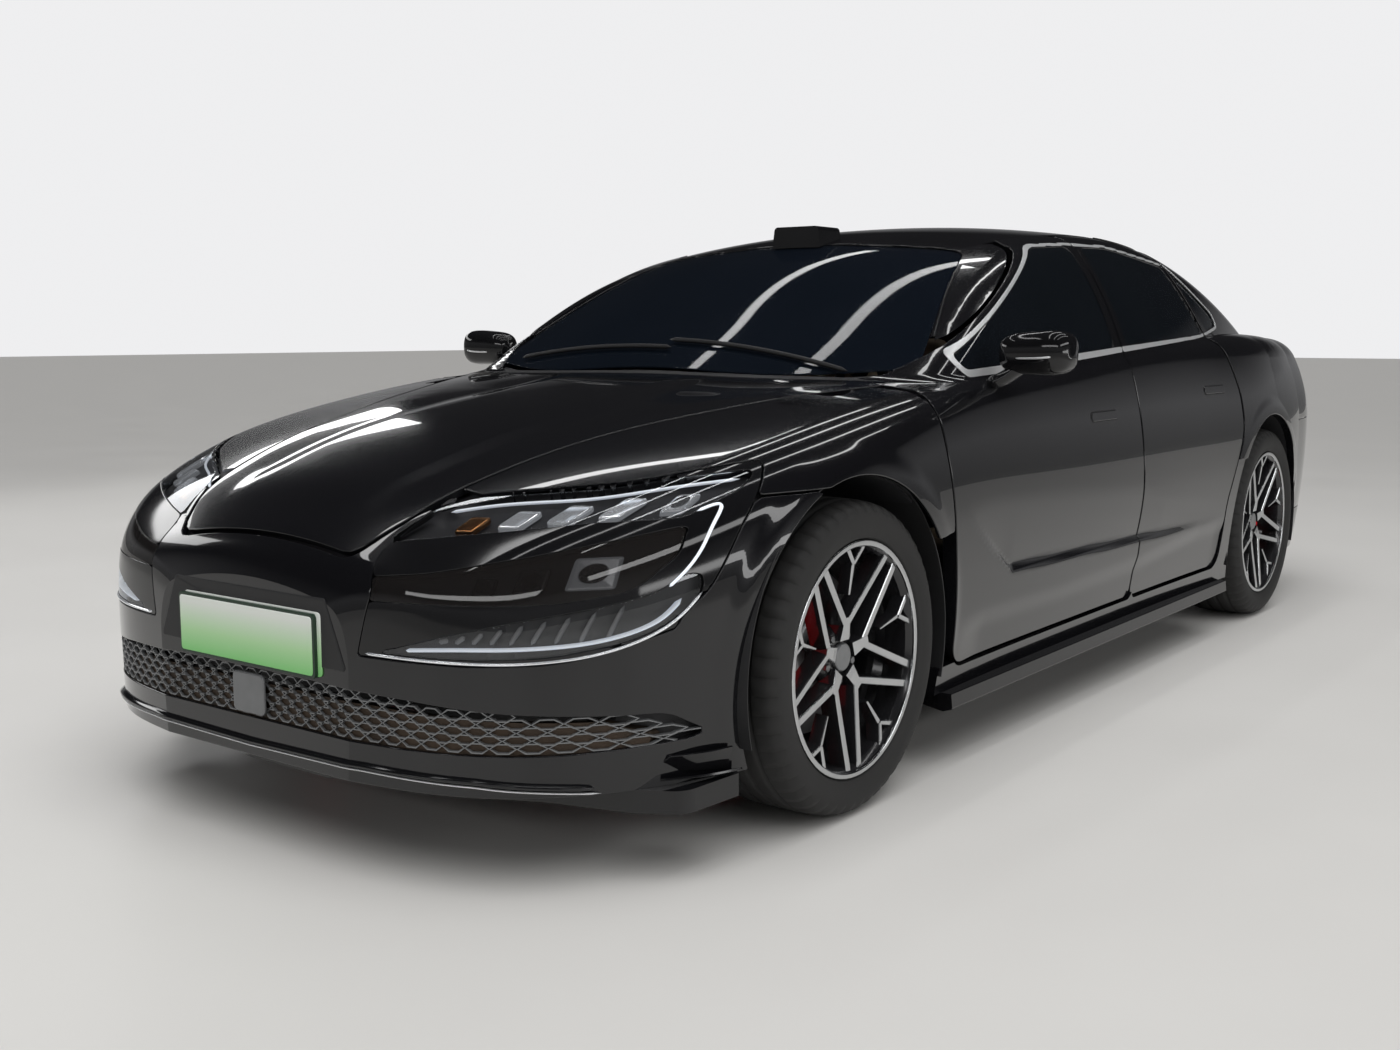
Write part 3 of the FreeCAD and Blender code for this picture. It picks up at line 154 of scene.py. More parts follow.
def ring(y, w, sizes, foot):
    """Point of a section at w: 0 to 1 runs up the flank, to 2 up the side, to 3 over the shoulder and to 4
    over the deck to the middle. Each run is an arc."""
    size = sizes(y)
    half, widest, flank, side, shoulder, deck, top = np.moveaxis(size, -1, 0)
    cx, cz, side_end, deck_end = arcs(size)
    flank_start = np.arcsin((foot - widest) / flank)
    angle = np.select([w < 1, w < 2, w < 3],
                      [flank_start * (1 - w), side_end * (w - 1), side_end + (deck_end - side_end) * (w - 2)],
                      deck_end + (math.pi / 2 - deck_end) * (w - 3))
    radius = np.select([w < 1, w < 2, w < 3], [flank, side, shoulder], deck)
    x = np.select([w < 1, w < 2, w < 3], [half - flank, half - side, cx], 0)
    z = np.select([w < 1, w < 2, w < 3], [widest, widest, cz], top - deck)
    return np.stack([x + radius * np.cos(angle), y, z + radius * np.sin(angle)], -1)


def reach(y, z, sizes):
    """Half width of a section at a height: the flank below the widest line, the side, the shoulder or the
    deck above it."""
    size = sizes(y)
    half, widest, flank, side, shoulder, deck, top = np.moveaxis(size, -1, 0)
    cx, cz, side_end, deck_end = arcs(size)

    def circle(x, zc, r):
        return x + np.sqrt(np.maximum(r * r - (z - zc) ** 2, 0))
    low, high = widest + side * np.sin(side_end), cz + shoulder * np.sin(deck_end)
    rounds = [circle(half - flank, widest, flank), circle(half - side, widest, side),
              circle(cx, cz, shoulder)]
    out = np.select([z < widest, z < low, z < high], rounds, circle(0, top - deck, deck))
    return np.where(z > top, -(z - top), out)


def height(x, y, sizes):
    """Height of the top of a section over a place: the deck's arc, or the shoulder's beyond it."""
    size = sizes(y)
    half, widest, flank, side, shoulder, deck, top = np.moveaxis(size, -1, 0)
    cx, cz, side_end, deck_end = arcs(size)
    x = np.abs(x)
    on_deck = top - deck + np.sqrt(np.maximum(deck ** 2 - x ** 2, 0))
    on_shoulder = cz + np.sqrt(np.maximum(shoulder ** 2 - (x - cx) ** 2, 0))
    on_side = widest + np.sqrt(np.maximum(side ** 2 - (x - half + side) ** 2, 0))
    return np.select([x < cx + shoulder * np.cos(deck_end), x < cx + shoulder * np.cos(side_end)],
                     [on_deck, on_shoulder], on_side)


# Outlines, as part of the car's own plan: (along, up, radius) from the side, (x, along, radius) from above

def rounded(corners, steps=7):
    """Closed outline through corners (u, v, radius): straight runs joined by arcs that touch them."""
    c = np.array(corners, float)
    here, r = c[:, :2], c[:, 2]
    before, after = here - np.roll(here, 1, 0), np.roll(here, -1, 0) - here
    before /= np.linalg.norm(before, axis=1)[:, None]
    after /= np.linalg.norm(after, axis=1)[:, None]
    turn = np.arctan2(before[:, 0] * after[:, 1] - before[:, 1] * after[:, 0], (before * after).sum(1))
    reach_back = r * np.tan(np.abs(turn) / 2)
    inwards = after - before
    inwards /= np.maximum(np.linalg.norm(inwards, axis=1), 1e-9)[:, None]
    centre = here + inwards * (r / np.cos(turn / 2))[:, None]
    start = here - before * reach_back[:, None] - centre
    share = turn[:, None] * np.linspace(0, 1, steps)
    cos, sin = np.cos(share), np.sin(share)
    u = centre[:, :1] + start[:, :1] * cos - start[:, 1:] * sin
    v = centre[:, 1:] + start[:, :1] * sin + start[:, 1:] * cos
    return np.stack([u, v], -1).reshape(-1, 2)


def rectangle(half_wide, low, high, r, middle=0.0):
    """Outline of an upright rectangle with its corners rounded to r."""
    left, right = middle - half_wide, middle + half_wide
    return rounded([(left, low, r), (right, low, r), (right, high, r), (left, high, r)])


def distance(outline, u, v):
    """Signed distance to a closed outline in the plane, negative inside."""
    a, b = outline, np.roll(outline, -1, 0)
    shape, p = u.shape, np.stack([u.ravel(), v.ravel()], -1)
    best, inside = np.full(len(p), 1e9), np.zeros(len(p), bool)
    for (ax, ay), (bx, by) in zip(a, b):
        ex, ey = bx - ax, by - ay
        length = ex * ex + ey * ey
        if length < 1e-14:
            continue
        px, py = p[:, 0] - ax, p[:, 1] - ay
        t = np.clip((px * ex + py * ey) / length, 0, 1)
        best = np.minimum(best, (px - t * ex) ** 2 + (py - t * ey) ** 2)
        if ay != by:
            inside ^= ((ay > p[:, 1]) != (by > p[:, 1])) & (p[:, 0] < ax + (p[:, 1] - ay) * ex / ey)
    return (np.where(inside, -1, 1) * np.sqrt(best)).reshape(shape)


def side_outline(corners):
    """Outline on the side, its corners as (along, up, radius in millimetres)."""
    return rounded([(along(k), up(h), r / MM) for k, h, r in corners])


def plan_outline(corners):
    """Outline seen from above, from its left half: corners as (x in millimetres, along, radius in
    millimetres)."""
    left = [(x / MM, along(k), r / MM) for x, k, r in corners]
    return rounded(left + [(-x, y, r) for x, y, r in reversed(left)])


FRONT_DOOR = side_outline([(1.157, 1.067, 70), (1.565, 1.067, 30), (1.576, 1.884, 400), (1.582, 2.841, 20),
                           (1.480, 2.793, 500), (1.174, 1.855, 60), (1.134, 1.826, 60)])
REAR_DOOR = side_outline([(1.568, 1.067, 30), (1.829, 1.067, 60), (1.837, 1.316, 200), (1.890, 1.589, 150),
                          (1.890, 1.737, 200), (1.875, 1.907, 60), (1.827, 2.742, 25), (1.675, 2.864, 600),
                          (1.585, 2.841, 20), (1.579, 1.884, 400)])
FRONT_WINDOW = side_outline([(1.198, 1.865, 20), (1.559, 1.924, 25), (1.565, 2.717, 30), (1.474, 2.669, 300)])
REAR_WINDOW = side_outline([(1.594, 1.932, 25), (1.862, 1.966, 20), (1.824, 2.601, 25), (1.675, 2.737, 600),
                            (1.596, 2.717, 30)])
QUARTER_WINDOW = side_outline([(1.883, 1.977, 12), (1.958, 2.017, 25), (1.845, 2.572, 15)])
SIDE_GLASS = side_outline([(1.198, 1.865, 20), (1.559, 1.924, 2500), (1.862, 1.966, 2500), (1.958, 2.017, 25),
                           (1.838, 2.600, 60), (1.675, 2.737, 600), (1.565, 2.717, 600), (1.474, 2.669, 300)])
BONNET = plan_outline([(300, 0.043, 60), (368, 0.150, 150), (500, 0.720, 900), (640, 1.050, 900),
                       (800, 1.172, 40), (430, 1.118, 900)])
WINDSCREEN = plan_outline([(430, 1.140, 900), (782, 1.195, 60), (575, 1.405, 60), (300, 1.393, 900)])
ROOF = plan_outline([(300, 1.399, 900), (570, 1.411, 60), (585, 1.600, 1500), (560, 1.876, 50),
                     (300, 1.890, 900)])
BACK_GLASS = plan_outline([(300, 1.896, 900), (556, 1.882, 60), (610, 2.500, 90)])
LID = plan_outline([(300, 2.560, 900), (640, 2.545, 60), (600, 3.100, 20)])
HEADLAMP = rounded([(x / MM, up(h), r / MM) for x, h, r in (
    (355, 1.284, 8), (600, 1.282, 300), (780, 1.290, 300), (905, 1.355, 200), (1010, 1.460, 20),
    (1010, 1.720, 20), (930, 1.700, 60), (720, 1.646, 400), (470, 1.618, 60), (400, 1.590, 25),
    (362, 1.500, 40), (385, 1.420, 60))])
LAMP_BACK = rounded([(along(k) if k >= 0 else -3.0, up(h), r / MM) for k, h, r in (
    (-0.2, 1.1, 5), (0.380, 1.1, 5), (0.396, 1.363, 60), (0.480, 1.430, 150), (0.580, 1.560, 200),
    (0.722, 1.690, 20), (0.5, 1.9, 5), (-0.2, 1.9, 5))])
GRILLE = rounded([(x / MM, FLOOR + h / MM, r / MM) for x, h, r in (
    (-760, 86, 30), (760, 86, 30), (918, 96, 14), (880, 156, 30), (480, 188, 80), (250, 196, 60),
    (-250, 196, 60), (-480, 188, 80), (-880, 156, 30), (-918, 96, 14))])
REAR_PLATE = rectangle(0.262, 0.392, 0.556, 0.012)
SEAM, LID_FOOT, BUMPER_TOP = up(1.61), up(1.805), up(1.589)
DOOR_EDGE, SILL_TOP = 1.132, 0.272
LAMP_BAND = (up(1.70), up(1.79))


# Meshes

QUARTER_ROUND = np.radians([30, 60, 90])


def make(name, points, faces, body, slot, finishes, smooth=True, normals=None, face_finish=None):
    """A piece from points and faces, with its own normals where a surface gives them, and face_finish the
    number of each face's finish where there are several."""
    mesh = bpy.data.meshes.new(name)
    mesh.from_pydata(np.asarray(points, float).tolist(), [], [list(f) for f in faces])
    mesh.polygons.foreach_set("use_smooth", np.full(len(mesh.polygons), smooth))
    for finish in finishes:
        mesh.materials.append(finish.material)
    if face_finish is not None:
        mesh.polygons.foreach_set("material_index", np.asarray(face_finish, np.int32))
    if normals is not None:
        mesh.normals_split_custom_set(np.asarray(normals, float).tolist())
    piece = added(name, mesh)
    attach(piece, body)
    return piece


def unit(v):
    return v / np.maximum(np.linalg.norm(v, axis=-1, keepdims=True), 1e-12)


def grid_normals(points):
    """Normals of a grid from the differences along its two directions."""
    return unit(np.cross(np.gradient(points, axis=0), np.gradient(points, axis=1)))


def grid_quads(rows, columns):
    """Faces of a grid of rows by columns."""
    i = np.arange(rows * columns).reshape(rows, columns)
    return np.stack([i[:-1, :-1], i[1:, :-1], i[1:, 1:], i[:-1, 1:]], -1).reshape(-1, 4)


def ring_faces(rows, columns, first=0, side=1):
    """Faces between rows of points that each close into a ring, with a cap at both ends; side -1 turns them
    over."""
    i = first + np.arange(rows * columns).reshape(rows, columns)
    j = np.roll(i, -1, 1)
    quads = np.stack([i[:-1], j[:-1], j[1:], i[1:]], -1)[:, :, ::side].reshape(-1, 4).tolist()
    return quads + [i[0, ::-side].tolist(), i[-1, ::side].tolist()]


def clip(points, normals, outside):
    """Keeps a grid where outside is not positive. Its quads are split along the line where outside is zero,
    with each new point shared by the cells on both sides. Returns points, normals and faces, -1 for no fourth
    corner."""
    quads = grid_quads(*outside.shape)
    p, n, s = points.reshape(-1, 3), normals.reshape(-1, 3), outside.ravel()
    s = np.where(np.abs(s) < 2e-4, -2e-4, s)
    inside = s[quads] < 0
    kept = quads[inside.all(1)]
    mixed = quads[inside.any(1) & ~inside.all(1)]
    triangles = np.concatenate([mixed[:, [0, 1, 2]], mixed[:, [0, 2, 3]]])
    state = s[triangles] < 0
    count = state.sum(1)
    whole = triangles[count == 3]
    made, faces = [], []
    for need, lead in ((1, True), (2, False)):
        chosen, flags = triangles[count == need], state[count == need]
        turn = (flags if lead else ~flags).argmax(1)
        a, b, c = [chosen[np.arange(len(chosen)), (turn + k) % 3] for k in range(3)]
        ab, ac = np.stack([a, b], -1), np.stack([a, c], -1)
        made.append((need, a, b, c, ab, ac))
    pairs = np.concatenate([np.sort(x, 1) for m in made for x in m[4:]])
    edges, index = np.unique(pairs, axis=0, return_inverse=True)
    index = index.ravel() + len(p)
    t = s[edges[:, 0]] / (s[edges[:, 0]] - s[edges[:, 1]])
    p = np.concatenate([p, p[edges[:, 0]] * (1 - t)[:, None] + p[edges[:, 1]] * t[:, None]])
    n = np.concatenate([n, unit(n[edges[:, 0]] * (1 - t)[:, None] + n[edges[:, 1]] * t[:, None])])
    at = 0
    for need, a, b, c, ab, ac in made:
        on_ab, on_ac = index[at:at + len(a)], index[at + len(a):at + 2 * len(a)]
        at += 2 * len(a)
        if need == 1:
            faces.append(np.stack([a, on_ab, on_ac, np.full(len(a), -1)], -1))
        else:
            faces.append(np.stack([on_ab, b, c, on_ac], -1))
    empty = np.full((len(whole), 1), -1)
    faces = np.concatenate([kept, np.hstack([whole, empty])] + faces)
    used, renumbered = np.unique(faces[faces >= 0], return_inverse=True)
    packed = faces.copy()
    packed[faces >= 0] = renumbered.ravel()
    return p[used], n[used], packed


def border(faces):
    """Directed edges that only one face has."""
    triangle = faces[:, 3] < 0
    loops = [np.stack([faces[triangle, k], faces[triangle, (k + 1) % 3]], -1) for k in range(3)]
    loops += [np.stack([faces[~triangle, k], faces[~triangle, (k + 1) % 4]], -1) for k in range(4)]
    edges = np.concatenate(loops)
    big = edges.max() + 1
    key, back = edges[:, 0] * big + edges[:, 1], edges[:, 1] * big + edges[:, 0]
    return edges[~np.isin(key, back)]


def split_faces(faces, normals):
    """Faces as lists of three or four corners, and each corner's normal."""
    triangle = faces[:, 3] < 0
    lists = faces[triangle, :3].tolist() + faces[~triangle].tolist()
    return lists, np.concatenate([normals[faces[triangle, :3]].reshape(-1, 3),
                                  normals[faces[~triangle]].reshape(-1, 3)])


def panel(name, points, outside, body, slot, finishes, depth=0.02, roll=0.0025, back=True, lift=0.0):
    """A panel of a skin: the grid cut along its outline, an edge that rolls inwards as a quarter round, a
    wall square to the skin and, where it shows, the skin again on the inner side."""
    normals = grid_normals(points)
    p, n, faces = clip(points + normals * lift, normals, outside + roll)
    edges = border(faces)
    ends, place = np.unique(edges, return_inverse=True)
    place = place.reshape(-1, 2)
    sideways = unit(np.cross(p[edges[:, 1]] - p[edges[:, 0]], n[edges[:, 0]] + n[edges[:, 1]]))
    out = np.zeros((len(ends), 3))
    for k in (0, 1):
        np.add.at(out, place[:, k], sideways)
    out = unit(out)
    rim_p, rim_n = p[ends], n[ends]
    rings = [(rim_p + out * roll * math.sin(a) - rim_n * roll * (1 - math.cos(a)),
              rim_n * math.cos(a) + out * math.sin(a)) for a in QUARTER_ROUND]
    rings.append((rings[-1][0] - rim_n * (depth - roll), out))
    points_made, first = [p], len(p)
    lists, corner_normals = split_faces(faces, n)
    index, ring_before = ends, rim_n
    for ring_p, ring_n in rings:
        new = first + np.arange(len(ends))
        first += len(ends)
        lists += np.stack([index[place[:, 1]], index[place[:, 0]], new[place[:, 0]], new[place[:, 1]]],
                          -1).tolist()
        four = np.stack([ring_before[place[:, 1]], ring_before[place[:, 0]], ring_n[place[:, 0]],
                         ring_n[place[:, 1]]], 1)
        corner_normals = np.concatenate([corner_normals, four.reshape(-1, 3)])
        points_made.append(ring_p)
        index, ring_before = new, ring_n
    marks = [0] * len(lists)
    if back:
        inner = first + np.arange(len(p))
        inner[ends] = index
        points_made.append(p - n * depth)
        turned = np.where(faces[:, 3:] < 0, faces[:, [2, 1, 0, 3]], faces[:, ::-1])
        more, more_normals = split_faces(turned, -n)
        lists += [[int(inner[i]) for i in face] for face in more]
        corner_normals = np.concatenate([corner_normals, more_normals])
        marks += [len(finishes) - 1] * len(more)
    return make(name, np.concatenate(points_made), lists, body, slot, finishes, normals=corner_normals,
                face_finish=marks)


# Finishes

def set_stops(ramp, stops):
    """Fills a colour ramp with stops of (position, colour)."""
    while len(ramp.elements) < len(stops):
        ramp.elements.new(0.5)
    for element, (position, colour) in zip(ramp.elements, stops):
        element.position, element.color = position, (*colour, 1)


class Value:
    """A socket of a finish. Arithmetic on it adds Math nodes."""

    def __init__(self, finish, socket):
        self.finish, self.socket = finish, socket

    def math(self, operation, *values):
        return self.finish.node("Math", values, operation=operation)

    def of(self, operation, *others):
        return self.math(operation, self, *others)

    def __add__(self, other):
        return self.math("ADD", self, other)

    def __sub__(self, other):
        return self.math("SUBTRACT", self, other)

    def __rsub__(self, other):
        return self.math("SUBTRACT", other, self)

    def __mul__(self, other):
        return self.math("MULTIPLY", self, other)

    __radd__, __rmul__ = __add__, __mul__


class Finish:
    """A material on a Principled shader, whose constants are set on the shader's own sockets."""

    def __init__(self, name, **constants):
        self.material = bpy.data.materials.new(name)
        self.material.use_nodes = True
        self.tree = self.material.node_tree
        self.shader = self.tree.nodes["Principled BSDF"]
        self.put({key.replace("_", " ").title().replace("Ior", "IOR"): value
                  for key, value in constants.items()})
        self.place = self.node("TexCoord", output="Object")

    def node(self, kind, values=(), output=0, stops=(), **settings):
        """A node of a type with its settings, and a value or link for each socket, by place or by name."""
        new = self.tree.nodes.new("ShaderNode" + kind)
        for key, value in settings.items():
            setattr(new, key, value)
        if stops:
            set_stops(new.color_ramp, stops)
        self.connect(new, values)
        return Value(self, new.outputs[output])

    def connect(self, node, values):
        for key, value in (values.items() if isinstance(values, dict) else enumerate(values)):
            if isinstance(value, Value):
                self.tree.links.new(value.socket, node.inputs[key])
            elif isinstance(value, tuple) and len(value) == 3 and node.inputs[key].type == "RGBA":
                node.inputs[key].default_value = (*value, 1)
            else:
                node.inputs[key].default_value = value

    def put(self, values):
        self.connect(self.shader, values)
        return self

    def mix(self, factor, first, second):
        return self.node("Mix", {0: factor, 6: first, 7: second}, output=2, data_type="RGBA")

    def noise(self, scale, detail=3.0, stretch=(1, 1, 1)):
        at = self.place
        if stretch != (1, 1, 1):
            at = self.node("Mapping", {"Vector": self.place, "Scale": stretch})
        return self.node("TexNoise", {"Vector": at, "Scale": scale, "Detail": detail})

    def bump(self, height, strength, distance):
        normal = self.node("Bump", {"Height": height, "Strength": strength, "Distance": distance})
        return self.put({"Normal": normal})

    def across(self, axis):
        return self.node("SeparateXYZ", [self.place], output=axis)


def surface(name, colour, other, rough, spread=0.06, patches=4.0, grain=0.0, fine=500.0, deep=0.0004,
            stretch=(1, 1, 1), **constants):
    """A finish of two near colours in soft patches, a roughness that wanders a little, and a fine grain."""
    f = Finish(name, **constants)
    cloud = f.noise(patches, 4.0)
    f.put({"Base Color": f.mix(cloud, colour, other), "Roughness": (cloud - 0.5) * spread + rough})
    if grain:
        f.bump(f.noise(fine, 3.0, stretch), grain, deep)
    return f


paint = surface("gloss_black_paint", (0.004, 0.004, 0.005), (0.006, 0.006, 0.007), 0.16, 0.02, 3.0,
                coat_weight=1.0, coat_roughness=0.012, specular_ior_level=0.1)
gloss = surface("gloss_black_moulding", (0.004, 0.004, 0.0045), (0.008, 0.008, 0.009), 0.07, 0.03, 5.0, 0.02,
                700)
plastic = surface("grained_black_plastic", (0.010, 0.010, 0.011), (0.018, 0.018, 0.019), 0.52, 0.14, 7.0,
                  0.35, 1400)
steel = surface("coated_sheet_steel", (0.014, 0.014, 0.016), (0.022, 0.022, 0.024), 0.5, 0.15, 3.0, 0.2, 300)
trim = surface("satin_silver_trim", (0.72, 0.73, 0.74), (0.80, 0.81, 0.82), 0.34, 0.06, 9.0, 0.12, 900,
               0.0002, (1, 0.03, 0.3), metallic=0.65)
# The reflector finish below glows faintly. This is painted glow that stands in for reflected light, on top of
# its real metallic shine. The lamp rims, projectors, reflectors and mirror glass use it.
glowing_chrome = surface("bright_reflector", (0.80, 0.81, 0.83), (0.9, 0.91, 0.92), 0.12, 0.05, 20.0, 0.05, 300,
                 metallic=0.9, emission_color=(0.8, 0.84, 0.9), emission_strength=0.16)
cap_grey = surface("grey_cap", (0.20, 0.205, 0.21), (0.25, 0.255, 0.26), 0.32, 0.08, 30.0, 0.1, 1200,
                   metallic=0.6)
dark_alloy = surface("dark_rim_alloy", (0.012, 0.012, 0.013), (0.02, 0.02, 0.022), 0.2, 0.08, 20.0, 0.05, 800,
                     metallic=0.3, coat_weight=0.5, coat_roughness=0.08)
# Red enamel for the calipers, with a red emission that is painted light: it makes the caliper bright inside the
# wheel's shade.
caliper_painted_glow = surface("red_enamel", (0.72, 0.008, 0.014), (0.80, 0.012, 0.02), 0.24, 0.08, 40.0, 0.1, 500,
                      coat_weight=0.6, coat_roughness=0.05, emission_color=(0.7, 0.01, 0.015),
                      emission_strength=0.5)
cast = surface("cast_alloy", (0.20, 0.205, 0.21), (0.27, 0.275, 0.28), 0.42, 0.15, 12.0, 0.3, 500,
               metallic=0.9)
housing = surface("battery_housing", (0.11, 0.112, 0.115), (0.16, 0.162, 0.165), 0.5, 0.15, 6.0, 0.25, 250,
                  metallic=0.8)
soft_dark = surface("soft_touch_dark", (0.016, 0.015, 0.015), (0.026, 0.025, 0.024), 0.62, 0.12, 6.0, 0.5,
                    900)
lamp_dark = surface("lamp_housing", (0.012, 0.012, 0.014), (0.03, 0.03, 0.033), 0.22, 0.1, 30.0, 0.1, 400)
copper = surface("copper_reflector", (0.55, 0.26, 0.10), (0.7, 0.36, 0.16), 0.2, 0.1, 40.0, 0.2, 200,
                 metallic=1.0)
mesh_grey = surface("grey_mesh", (0.15, 0.155, 0.16), (0.22, 0.225, 0.23), 0.32, 0.1, 25.0, 0.1, 900,
                    metallic=0.5)
core = surface("radiator_core", (0.03, 0.026, 0.024), (0.10, 0.07, 0.048), 0.45, 0.2, 14.0, 0.6, 120, 0.002,
               (0.1, 1, 6), metallic=0.8)
plate_edge = surface("plate_border", (0.01, 0.03, 0.015), (0.015, 0.035, 0.02), 0.4, 0.1, 20.0)


def glass(name, colour, other, facing, grazing, rough=0.03, **constants):
    """Thin glass: it lets through less where the eye grazes it, by Fresnel, and its colour is what it
    adds."""
    f = Finish(name, **constants)
    cloud = f.noise(2.5)
    rim = f.node("Fresnel", {"IOR": 1.5})
    f.put({"Base Color": f.mix(cloud, colour, other), "Roughness": (cloud - 0.5) * 0.01 + rough,
           "Alpha": facing + rim * (grazing - facing)})
    return f


side_glass = glass("tinted_glass", (0.004, 0.006, 0.008), (0.007, 0.009, 0.012), 0.74, 1.0,
                   specular_ior_level=0.8)
screen_glass = glass("screen_glass", (0.004, 0.007, 0.012), (0.008, 0.011, 0.017), 0.38, 1.0,
                     specular_ior_level=0.8)
clear_cover = glass("clear_lamp_cover", (0.8, 0.82, 0.85), (0.86, 0.88, 0.9), 0.05, 0.95, 0.02, metallic=1.0)
smoked_cover = glass("smoked_cover", (0.01, 0.009, 0.009), (0.016, 0.014, 0.013), 0.7, 1.0,
                     specular_ior_level=0.8)

leather = surface("beige_leather", (0.40, 0.315, 0.23), (0.47, 0.375, 0.28), 0.46, 0.12, 5.0)
leather.bump(leather.node("TexVoronoi", {"Vector": leather.place, "Scale": 420.0}), 0.35, 0.0006)

rubber = surface("tyre_rubber", (0.012, 0.012, 0.012), (0.02, 0.0195, 0.019), 0.72, 0.16, 9.0)
rubber.bump(rubber.noise(700, 4.0), 0.25, 0.0003)


def axle_rings(f, pitch):
    """Rings about the nearer axle, as turning leaves them: the sine of the distance to it over the pitch."""
    y, z = f.across("Y"), f.across("Z")
    up_square = (z - HUB_Z) * (z - HUB_Z)
    front, rear = y - FRONT_AXLE, y - REAR_AXLE
    square = (front * front).of("MINIMUM", rear * rear) + up_square
    return (square.of("SQRT") * (2 * math.pi / pitch)).of("SINE")


machined = surface("machined_rim_face", (0.50, 0.51, 0.52), (0.60, 0.61, 0.62), 0.2, 0.05, 16.0, metallic=1.0)
machined.bump(axle_rings(machined, 0.0011), 0.06, 0.0001)
disc_iron = surface("ground_disc", (0.24, 0.24, 0.245), (0.34, 0.34, 0.345), 0.3, 0.1, 14.0, metallic=1.0)
disc_iron.bump(axle_rings(disc_iron, 0.0016), 0.2, 0.0002)

plate_paint = Finish("graded_plate")
shade = plate_paint.node("MapRange", {"Value": plate_paint.across("Z"), 1: 0.404, 2: 0.544})
PLATE_SHADES = [(0.0, (0.17, 0.56, 0.15)), (0.4, (0.42, 0.70, 0.36)), (0.85, (0.76, 0.80, 0.74)),
                (1.0, (0.80, 0.83, 0.79))]
plate_paint.put({"Base Color": plate_paint.node("ValToRGB", [shade], stops=PLATE_SHADES),
                 "Roughness": plate_paint.noise(60.0) * 0.1 + 0.3})

tail_red = Finish("red_lamp_cover", coat_weight=1.0, coat_roughness=0.02)
ribs = (tail_red.across("X") * 520.0).of("SINE")
tail_red.put({"Base Color": tail_red.mix(ribs * 0.5 + 0.5, (0.16, 0.002, 0.003), (0.30, 0.006, 0.008)),
              "Roughness": tail_red.noise(30.0) * 0.05 + 0.12})

light_guide = Finish("white_light_guide", emission_strength=0.35)
glow = light_guide.noise(40.0)
light_guide.put({"Base Color": light_guide.mix(glow, (0.74, 0.78, 0.84), (0.84, 0.87, 0.9)),
                 "Emission Color": light_guide.mix(glow, (0.7, 0.8, 0.95), (0.9, 0.94, 1.0)),
                 "Roughness": glow * 0.1 + 0.15})


# Bodywork

def smooth(low, high, v):
    """0 below low, 1 above high, and between them 3t^2 - 2t^3 of the way t."""
    t = np.clip((v - low) / (high - low), 0, 1)
    return t * t * (3 - 2 * t)


def axle_distance(y, z):
    """Distance to the nearer axle, seen from the side."""
    return np.hypot(np.minimum(np.abs(y - FRONT_AXLE), np.abs(y - REAR_AXLE)), z - HUB_Z)


def sculpt(p):
    """Presses the doors' hollow and the bonnet's folds into the skin and lifts the arch lips. The hollow is
    deepest just over a sharp lower line and fades to nothing at a soft upper one."""
    x, y, z = np.abs(p[..., 0]), p[..., 1], p[..., 2]
    soft = np.interp(y, (-1.12, -0.494, 0.143, 0.346, 0.95), (0.708, 0.683, 0.630, 0.577, 0.530))
    sharp = np.interp(y, (-1.10, -0.92, -0.813, 0.191, 0.733, 1.1),
                      (0.646, 0.533, 0.474, 0.448, 0.435, 0.450))
    up_share = np.clip((z - sharp) / np.maximum(soft - sharp, 0.02), 0, 1)
    deep = 0.016 * smooth(-1.12, -0.80, y) * (1 - smooth(0.1, 1.0, y))
    inwards = deep * smooth(0, 0.016, z - sharp) * (1 - up_share) ** 1.5
    under = np.interp(y, (-0.881, -0.448, 0.195, 0.732), (0.401, 0.397, 0.409, 0.447))
    inwards += 0.010 * smooth(0, 0.07, under - z) * smooth(-1.15, -0.95, y) * (1 - smooth(0.9, 1.1, y))
    inwards -= 0.005 * (1 - smooth(0.452, 0.506, axle_distance(y, z))) * (z < 0.9)
    spine = np.interp(y, (-2.392, -2.18, -2.012, -1.717, -1.326), (0.222, 0.244, 0.251, 0.247, 0.217))
    fold = np.interp(y, (-2.455, -2.267, -2.118, -1.923, -1.716, -1.535, -1.353, -1.135),
                     (0.35, 0.40, 0.42, 0.425, 0.436, 0.531, 0.651, 0.824))
    channel = smooth(0, 0.035, x - spine) * (1 - np.clip((x - spine) / np.maximum(fold - spine, 0.02), 0, 1))
    fade = smooth(-2.5, -2.3, y) * (1 - smooth(-1.5, -1.2, y))
    out = p.copy()
    out[..., 0] -= np.sign(p[..., 0]) * inwards
    out[..., 2] -= np.where(z > 0.6, 0.011 * channel * fade, 0)
    return out


def skin(ys, ws, sizes, foot=FLOOR):
    """Skin over places along the car and round its section, w past 4 on the right half."""
    y, w = np.meshgrid(ys, ws, indexing="ij")
    p = ring(y, np.minimum(w, 8 - w), sizes, foot)
    p[..., 0] *= np.where(w > 4, -1, 1)
    return sculpt(p) if sizes is LOWER_AT else p


def half_round(start, stop, count, side):
    """Places w round the section on one side; the right side's are the left side's in the mirror."""
    return np.linspace(start, stop, count) if side > 0 else np.linspace(8 - stop, 8 - start, count)


def wrap(start, end, count, across, ws):
    """Both sides of the lower body and the flat end between them: right side, across, left side at the nose,
    and the other way round at the tail."""
    toward = start + (end - start) * (1 - np.linspace(1, 0, count) ** 2)
    left = skin(toward, ws, LOWER_AT)
    right = left * (-1, 1, 1)
    share = np.linspace(-1, 1, across)[1:-1]
    last = left[-1]
    middle = np.stack([share[:, None] * last[:, 0], np.repeat([last[:, 1]], len(share), 0),
                       np.repeat([last[:, 2]], len(share), 0)], -1)
    if end < start:
        return np.concatenate([right, middle, left[::-1]])
    return np.concatenate([left, middle[::-1], right[::-1]])


